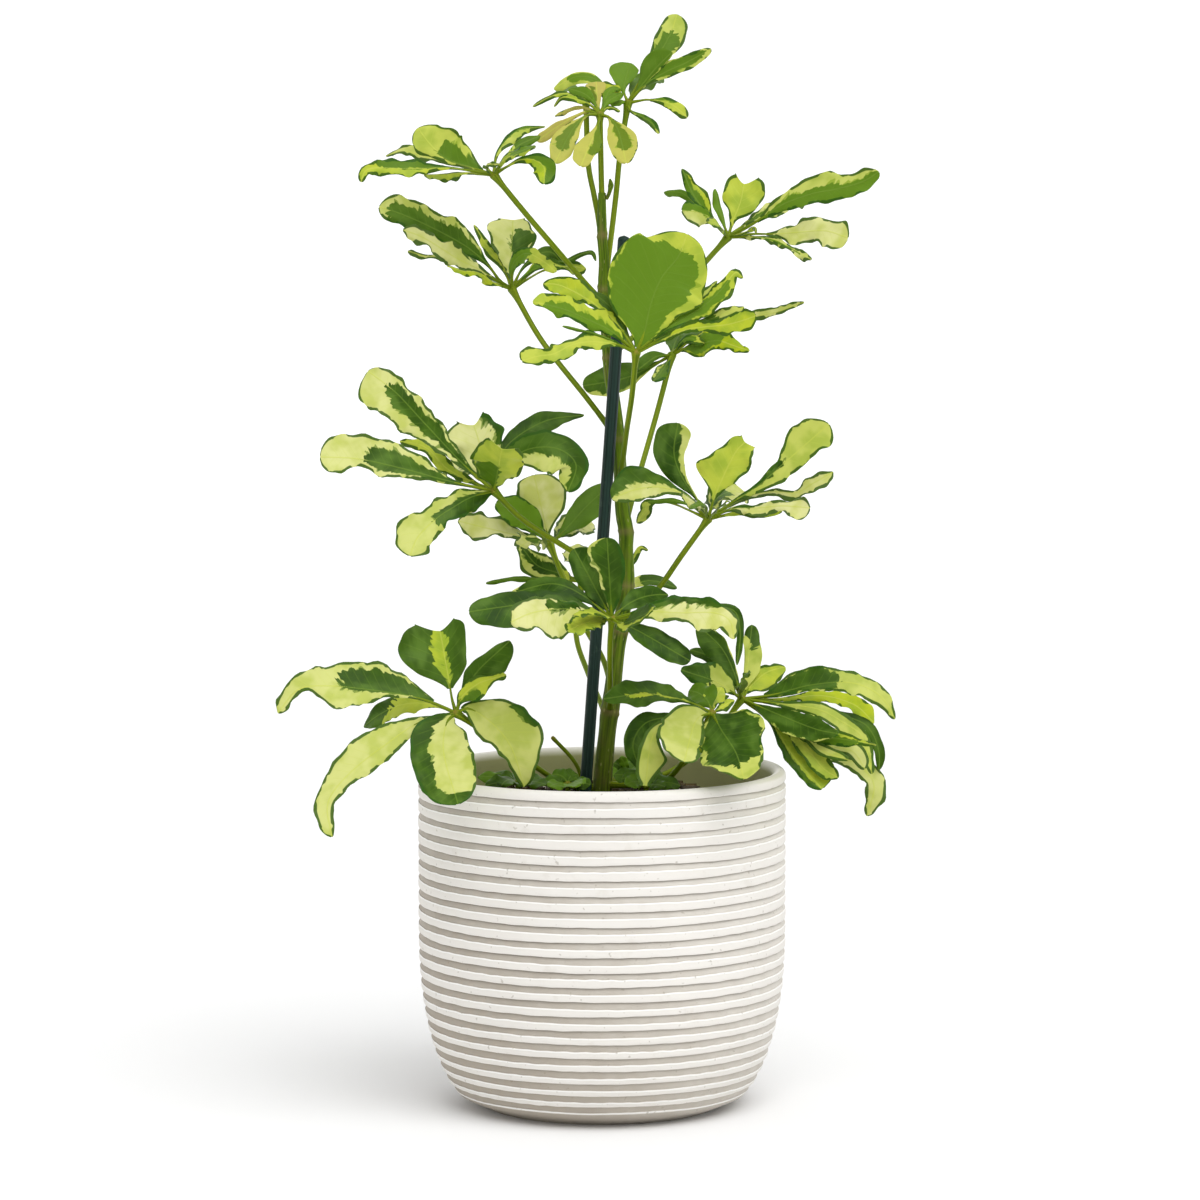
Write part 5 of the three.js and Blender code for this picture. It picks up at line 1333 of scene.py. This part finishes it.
def trunk():
    """The main stem with its swollen leaf scars, and the bud beside its top."""
    path = [seen((x, z, 0)) for x, z, _ in TRUNK]
    foot = np.array([path[0][0], path[0][1], TRUNK_FOOT_HEIGHT])
    points, _ = spline([foot, *path], TRUNK_POINTS)
    height = points[:, 2]
    radii = np.interp(height, [foot[2], *[p[2] for p in path]], [TRUNK_FOOT_RADIUS, *[r for *_, r in TRUNK]])
    radii = np.convolve(np.pad(radii, 3, "edge"), np.ones(7) / 7, "valid")
    angle = all_round(TRUNK_SIDES)
    surface = np.repeat(radii[:, None], TRUNK_SIDES, 1)
    scar_mark = np.zeros(len(points))
    for n, z in enumerate(SCARS):
        level = seen((0, z, 0))[2]
        skew = height[:, None] - level - 1.2 * np.cos(angle - n * 2.4)[None, :]
        surface += SCAR_SWELL * np.exp(-((skew / 0.9) ** 2))
        surface -= SCAR_SWELL / 2 * np.exp(-(((skew - 2.2) / 0.9) ** 2))
        scar_mark = np.maximum(scar_mark, np.exp(-(((height - level) / 1.6) ** 2)))
    lump = 0.1 * np.sin(height / 6.3)[:, None] * np.cos(2 * angle + height[:, None] / 31)
    shape = Shape()
    tube(shape, points, surface + lump, TRUNK_SIDES, scar_mark)
    bud, shares = spline([seen(p) for p in BUD], 16)
    tube(shape, bud, np.interp(shares, [0, 0.4, 0.7, 1], [0.9, 1.0, 1.5, 0.5]), 12)
    piece = shape.build("main_stem", [bark_paint()])
    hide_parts("trunk")


def stake():
    """The straight support rod, with its two ends rounded off."""
    low, top = (seen(p) for p in STAKE)
    foot = low + (top - low) * (STAKE_FOOT_HEIGHT - low[2]) / (top[2] - low[2])
    ends = np.array([0.0, 0.002, 0.004])
    shares = np.concatenate([ends, np.linspace(0.02, 0.98, 50), 1 - ends[::-1]])
    points = foot + (top - foot) * shares[:, None]
    radii = np.full(len(points), STAKE_RADIUS)
    radii[[0, -1]] = STAKE_RADIUS - 0.7
    radii[[1, -2]] = STAKE_RADIUS - 0.15
    shape = Shape()
    tube(shape, points, radii, STAKE_SIDES)
    piece = shape.build("support_rod", [stake_paint()], crease=40)
    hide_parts("stake")


def cut_stalk():
    points, shares = spline([seen(p) for p in CUT_STALK], 30)
    shape = Shape()
    tube(shape, points, np.interp(shares, [0, 0.9, 0.98, 1], [1.05, 1.0, 1.15, 0.95]), STALK_SIDES)
    piece = shape.build("cut_stem", [STALK], crease=40)
    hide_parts("cut_stalk")


# Pot and soil
def wall_radius(z):
    drop = np.maximum(0, (SHOULDER_HEIGHT - z) / SHOULDER_HEIGHT)
    return FOOT_RADIUS + (POT_RADIUS - FOOT_RADIUS) * np.sqrt(1 - drop**SHOULDER_POWER)


def groove_top(rib):
    """How far down the wall from the rim a groove starts."""
    return FIRST_GROOVE + rib * (RIB_PITCH - rib * PITCH_LOSS)


def waver(rng, angle, size, low, high, count):
    """A closed wavering line round the pot."""
    line = np.zeros_like(angle)
    for turns in rng.integers(low, high, count):
        line += rng.normal() * np.sin(turns * angle + rng.uniform(0, 2 * np.pi)) / math.sqrt(count)
    return line * size


class PotRings:
    """Gathers the pot's rings of points, each with how deep in a groove it is, which also places painted
    highlights and shadows, and how green it is: painted leaf light outside, painted shade inside.
    """

    def __init__(self):
        self.rings = []
        self.angle = all_round(POT_SIDES)
        # the side of the rim that gets painted green light, reflected from the leaves above it
        off_green = (self.angle + np.pi) % (2 * np.pi) - np.pi - REFLECTED_GREEN_ANGLE
        self.reflected_green_side = np.exp(-(off_green**2) / REFLECTED_GREEN_SPREAD)
        levels = np.linspace(POT_HEIGHT, 0, WALL_STEPS)
        radii = wall_radius(levels)
        slopes = np.gradient(radii, levels)
        out_r = 1 / np.hypot(1, slopes)
        out_z = -slopes / np.hypot(1, slopes)
        self.wall = (radii, levels, out_r, out_z)
        self.gone = np.concatenate([[0], np.cumsum(np.hypot(np.diff(levels), np.diff(radii)))])

    def level(self, radius, z, mark=0.0, green=0.0):
        self.rings.append([np.broadcast_to(value, POT_SIDES) for value in (radius, z, mark, green)])

    def sunk(self, distance, depth, drift, mark, tint=0.0):
        """A ring on the wall at a distance from the rim, sunk by a depth."""
        place = np.clip(distance + drift, 0, self.gone[-1])
        r, z, out_r, out_z = (np.interp(place, self.gone, line) for line in self.wall)
        self.level(r - depth * out_r, z - depth * out_z, mark, self.reflected_green_side * tint)

    def band(self, rng, rib, before):
        """A raised band with uneven edges and the groove under it. Gives where the groove ends."""
        top = groove_top(rib)
        groove = (groove_top(rib + 1) - top) * (1 - BAND_SHARE + LOWER_GROOVES * (rib / RIB_COUNT) ** 1.7)
        # painted green light from the leaves, fading band by band down the pot
        green = 0.25 * 0.6**rib
        faint = green * 0.5
        angle = self.angle
        upper = waver(rng, angle, 0.2, 2, 9, 5) + waver(rng, angle, 0.09, 14, 60, 8)
        lower = waver(rng, angle, 0.22, 2, 9, 5) + waver(rng, angle, 0.12, 14, 70, 9)
        nick = np.maximum(0, waver(rng, angle, 1.0, 20, 90, 9) - 1.7) * 0.8
        deep = GROOVE_DEPTH + waver(rng, angle, 0.12, 3, 20, 6)
        swell = waver(rng, angle, 0.07, 3, 24, 6)
        band = top - before
        self.sunk(before + band * 0.4, swell - 0.02, 0, 0.0, faint)
        self.sunk(before + band * 0.75, swell - 0.05, upper * 0.5, 0.0, faint)
        self.sunk(top - 0.3, 0.03 + nick * 0.5, upper, 0.0, faint)
        self.sunk(top - 0.04, 0.16 + nick, upper, 0.15, green)
        # marks above 1 put the painted shadow line under the band
        self.sunk(top, 0.5 + nick, upper, 1.6, green)
        self.sunk(top + 0.1, deep, upper, 2.0, green)
        self.sunk(top + 0.55, deep - 0.12, upper, 1.25, green)
        self.sunk(top + groove * 0.5, deep * 0.65, (upper + lower) / 2, 0.95, green)
        self.sunk(top + groove * 0.82, deep * 0.45, lower, 1.0, green)
        self.sunk(top + groove * 0.92, deep * 0.42, lower, 1.35, green)
        self.sunk(top + groove * 0.97, 0.2 + nick * 0.3, lower, 0.4, green)
        # marks below 0 put a painted highlight on the top edge of the band below
        self.sunk(top + groove, 0.0, lower, -0.8, faint)
        self.sunk(top + groove + 0.4, -0.02, lower, -0.8, faint)
        self.sunk(top + groove + 0.75, 0.0, lower * 0.8, 0.0, faint)
        return top + groove

    def foot(self):
        """The rounded foot and the hollow under it."""
        insets = (0.4, 1.2, 8, 11, FOOT_RADIUS - 20, FOOT_RADIUS - 0.5)
        # the foot takes the groove's grey: painted shade near the floor
        for inset, z in zip(insets, (0.6, 0.0, 0.0, FOOT_HOLLOW, FOOT_HOLLOW, FOOT_HOLLOW)):
            self.level(FOOT_RADIUS - inset, z, 0.9)

    def inside(self):
        """The inner side of the lip and the wall, and the floor."""
        # inside, the green mark is painted shade: olive from a few millimetres under the rim down the wall,
        # and over the floor
        for drop, wall in ((0.2, 4.2), (0.9, 5.6), (2.2, 6.6), (4.2, WALL)):
            self.inner(POT_HEIGHT - drop, wall)
        for z in (162, 155, 130, 90, 60, 40, 24, 14, FLOOR):
            self.inner(z, WALL)
        self.level(0.5, FLOOR, green=1)

    def inner(self, z, wall):
        self.level(wall_radius(z) - wall, z, green=min(1.0, (POT_HEIGHT - z) / 4))


def pot():
    """The ribbed pot: its outside is gathered from the rim down, and its inside follows the rim."""
    rng = np.random.default_rng(7)
    stack = PotRings()
    # the rim's top takes painted green light on the side under the leaves
    for inset, drop in ((2.6, 0.0), (1.7, 0.25), (0.8, 0.9)):
        stack.level(POT_RADIUS - inset, POT_HEIGHT - drop, green=stack.reflected_green_side * 0.45)
    stack.sunk(RIM_END, 0.2, 0, 0.0, 0.15)
    before = RIM_END
    for rib in range(RIB_COUNT):
        before = stack.band(rng, rib, before)
    # the rings under the last band take the groove's grey: painted shade near the floor
    for distance in (before + 1.6, before + 3.2):
        stack.sunk(distance, 0.1, 0, 0.9)
    stack.foot()
    stack.rings.reverse()
    stack.inside()

    r, z, depth, green = np.array(stack.rings).transpose(1, 0, 2)
    angle = stack.angle
    points = ring_points(r, angle, z)
    # painted shade: 0 on the right, where the sun comes from, rising towards the left and towards the bottom
    painted_shade = 0.35 - 0.35 * np.cos(angle) + 0.55 * (1 - z / POT_HEIGHT)
    marks = np.stack([depth, green, painted_shade], -1)
    shape = Shape()
    shape.add(
        np.vstack([points.reshape(-1, 3), [0, 0, FOOT_HOLLOW], [0, 0, FLOOR]]),
        ring_quads(len(r), POT_SIDES),
        end_caps(len(r), POT_SIDES),
        pot_place=np.vstack([marks.reshape(-1, 3), [0.9, 0, 1], [0, 1, 1]]),
    )
    piece = shape.build("ribbed_pot", [pot_paint()], crease=35)
    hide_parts("pot")


class Ground:
    """The top of the mix: heaped round the stems, sunk towards the wall, and lumpy."""

    def __init__(self, rng):
        self.rng = rng
        self.edge = float(wall_radius(SOIL_HEIGHT)) - WALL - SOIL_GAP
        radii = self.edge * np.linspace(0.02, 1, SOIL_RINGS)
        self.angle = all_round(SOIL_SIDES)
        x = radii[:, None] * np.cos(self.angle)
        y = radii[:, None] * np.sin(self.angle)
        fall = np.clip((radii - HEAP_RADIUS) / (self.edge - HEAP_RADIUS), 0, 1)
        height = SOIL_HEIGHT - 0.3 - HEAP_FALL * (fall**2 * (3 - 2 * fall))[:, None] + np.zeros_like(x)
        for _ in range(LUMPS):
            cx, cy = rng.uniform(-self.edge, self.edge, 2)
            spread = rng.uniform(*LUMP_SPREAD)
            height += rng.uniform(*LUMP_HEIGHT) * np.exp(-((x - cx) ** 2 + (y - cy) ** 2) / spread**2)
        self.points = np.stack([x, y, height], -1)

    def spot(self, spread):
        """A random place on the mix, up to a share of its radius."""
        r = self.edge * spread * math.sqrt(self.rng.uniform())
        a = self.rng.uniform(0, 2 * np.pi)
        row = min(SOIL_RINGS - 1, int(r / self.edge * SOIL_RINGS))
        column = int(a / (2 * np.pi) * SOIL_SIDES) % SOIL_SIDES
        return np.array([r * math.cos(a), r * math.sin(a), self.points[row, column, 2]])


def soil_body(shape, ground):
    """The mix from its top down along the pot's wall to the floor."""
    levels = [142, 120, 90, 60, 40, 24, 14, FLOOR + SOIL_GAP]
    points = [ground.points.reshape(-1, 3)]
    for z in levels:
        r = float(wall_radius(z)) - WALL - SOIL_GAP
        points.append(ring_points(r, ground.angle, z))
    ends = [[0, 0, ground.points[0, :, 2].mean()], [0, 0, FLOOR + SOIL_GAP]]
    rings = SOIL_RINGS + len(levels)
    walls = ring_quads(rings, SOIL_SIDES)[:, ::-1]
    shape.add(np.vstack([*points, ends]), walls, end_caps(rings, SOIL_SIDES)[:, [0, 2, 1]])


def bark_chips(shape, ground):
    """Small uneven flakes that lie turned and tilted on the mix."""
    rng = ground.rng
    cube = np.array([[i, j, k] for i in (-1, 1) for j in (-1, 1) for k in (-1, 1)], float)
    faces = [[0, 1, 3, 2], [4, 6, 7, 5], [0, 4, 5, 1], [2, 3, 7, 6], [0, 2, 6, 4], [1, 5, 7, 3]]
    for _ in range(CHIPS):
        size = rng.uniform(SMALLEST_CHIP, LARGEST_CHIP)
        corners = (cube + rng.normal(0, CHIP_UNEVENNESS, (8, 3))) * size
        turn = rng.uniform(0, 2 * np.pi)
        tilt = rng.normal(0, CHIP_TILT)
        cos_tilt = math.cos(tilt)
        sin_tilt = math.sin(tilt)
        cos_turn = math.cos(turn)
        sin_turn = math.sin(turn)
        tilted = corners @ np.array([[1, 0, 0], [0, cos_tilt, -sin_tilt], [0, sin_tilt, cos_tilt]])
        turned = tilted @ np.array([[cos_turn, sin_turn, 0], [-sin_turn, cos_turn, 0], [0, 0, 1]])
        shape.add(turned + ground.spot(0.95) + [0, 0, 0.4], faces, slot=1)


def pale_grit(shape, ground):
    """A few round grains on the mix."""
    rng = ground.rng
    rows = 5
    columns = 8
    lat = np.linspace(-np.pi / 2 + 0.3, np.pi / 2 - 0.3, rows)[:, None]
    lon = all_round(columns)
    sphere = np.stack([np.cos(lat) * np.cos(lon), np.cos(lat) * np.sin(lon), np.sin(lat) + 0 * lon], -1)
    sphere = sphere.reshape(-1, 3)
    for _ in range(GRIT):
        ball = sphere * (1 + rng.normal(0, GRIT_UNEVENNESS, (len(sphere), 1))) * rng.uniform(*GRIT_RADIUS)
        ends = [[0, 0, ball[:, 2].min() - 0.1], [0, 0, ball[:, 2].max() + 0.1]]
        points = np.vstack([ball, ends]) + ground.spot(0.96) + [0, 0, 0.5]
        shape.add(points, ring_quads(rows, columns), end_caps(rows, columns), slot=2)


def soil():
    shape = Shape()
    ground = Ground(np.random.default_rng(11))
    soil_body(shape, ground)
    bark_chips(shape, ground)
    pale_grit(shape, ground)
    piece = shape.build("potting_mix", [soil_paint(), chip_paint(), grit_paint()], crease=40)
    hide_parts("soil")


# Scene
def backdrop_paint():
    paint = Paint("white_paper", Roughness=0.95, Specular_IOR_Level=0.0)
    tone = paint.noise(paint.place(), 3.0, 2.0)
    paint.set("Base Color", paint.mix(tone, (0.9, 0.9, 0.9), (0.91, 0.91, 0.91)))
    return paint.material


def point_along(thing, direction):
    thing.rotation_mode = "QUATERNION"
    thing.rotation_quaternion = Vector(direction).to_track_quat("-Z", "Y")


def floor():
    """A wide floor that curves up into a low round wall."""
    angle = all_round(96)
    bend = np.linspace(0, np.pi / 2, 12)[1:]
    radii = [0.4, 1.0, 2.2, BACKDROP_RADIUS, *(BACKDROP_RADIUS + np.sin(bend)), BACKDROP_RADIUS + 1]
    levels = [0.0, 0.0, 0.0, 0.0, *(1.0 - np.cos(bend)), BACKDROP_HEIGHT]
    rings = [ring_points(r, angle, z) for r, z in zip(radii, levels)]
    points = np.vstack([*rings, [0, 0, 0]])
    quads = ring_quads(len(radii), len(angle))[:, ::-1].tolist()
    fan = [(len(points) - 1, k, (k + 1) % len(angle)) for k in range(len(angle))]
    mesh = bpy.data.meshes.new("backdrop")
    mesh.from_pydata(points.tolist(), [], quads + fan)
    mesh.polygons.foreach_set("use_smooth", np.ones(len(mesh.polygons), bool))
    mesh.materials.append(backdrop_paint())
    backdrop = add_object("backdrop", mesh)


def light():
    """A bright even sky, and a wide soft sun from the front, high on the right."""
    world = bpy.data.worlds.new("studio")
    world.use_nodes = True
    sky = world.node_tree.nodes["Background"]
    sky.inputs["Color"].default_value = (1.0, 1.0, 1.0, 1.0)
    sky.inputs["Strength"].default_value = SKY_STRENGTH
    bpy.context.scene.world = world
    sun = bpy.data.lights.new("softbox", "SUN")
    sun.energy = SUN_STRENGTH
    sun.angle = math.radians(SUN_WIDTH)
    point_along(add_object("softbox", sun), SUN_DIRECTION)


def camera():
    """Looks from the front and a little above, as far off as the eye that the plant is set out for."""
    lens = bpy.data.cameras.new("camera")
    lens.sensor_width = 36.0
    lens.lens = lens.sensor_width * float(np.linalg.norm(AIM - EYE)) / FIELD
    lens.clip_end = 100.0
    viewer = add_object("camera", lens)
    viewer.location = EYE * MM
    point_along(viewer, AIM - EYE)
    bpy.context.scene.camera = viewer
    bpy.context.scene.view_settings.view_transform = "Standard"


LEAF = leaf_paint()
STALK = stalk_paint()

floor()
light()
camera()
pot()
soil()
trunk()
stake()
cut_stalk()
for order, name in enumerate(LEAVES):
    leaf(name, order)
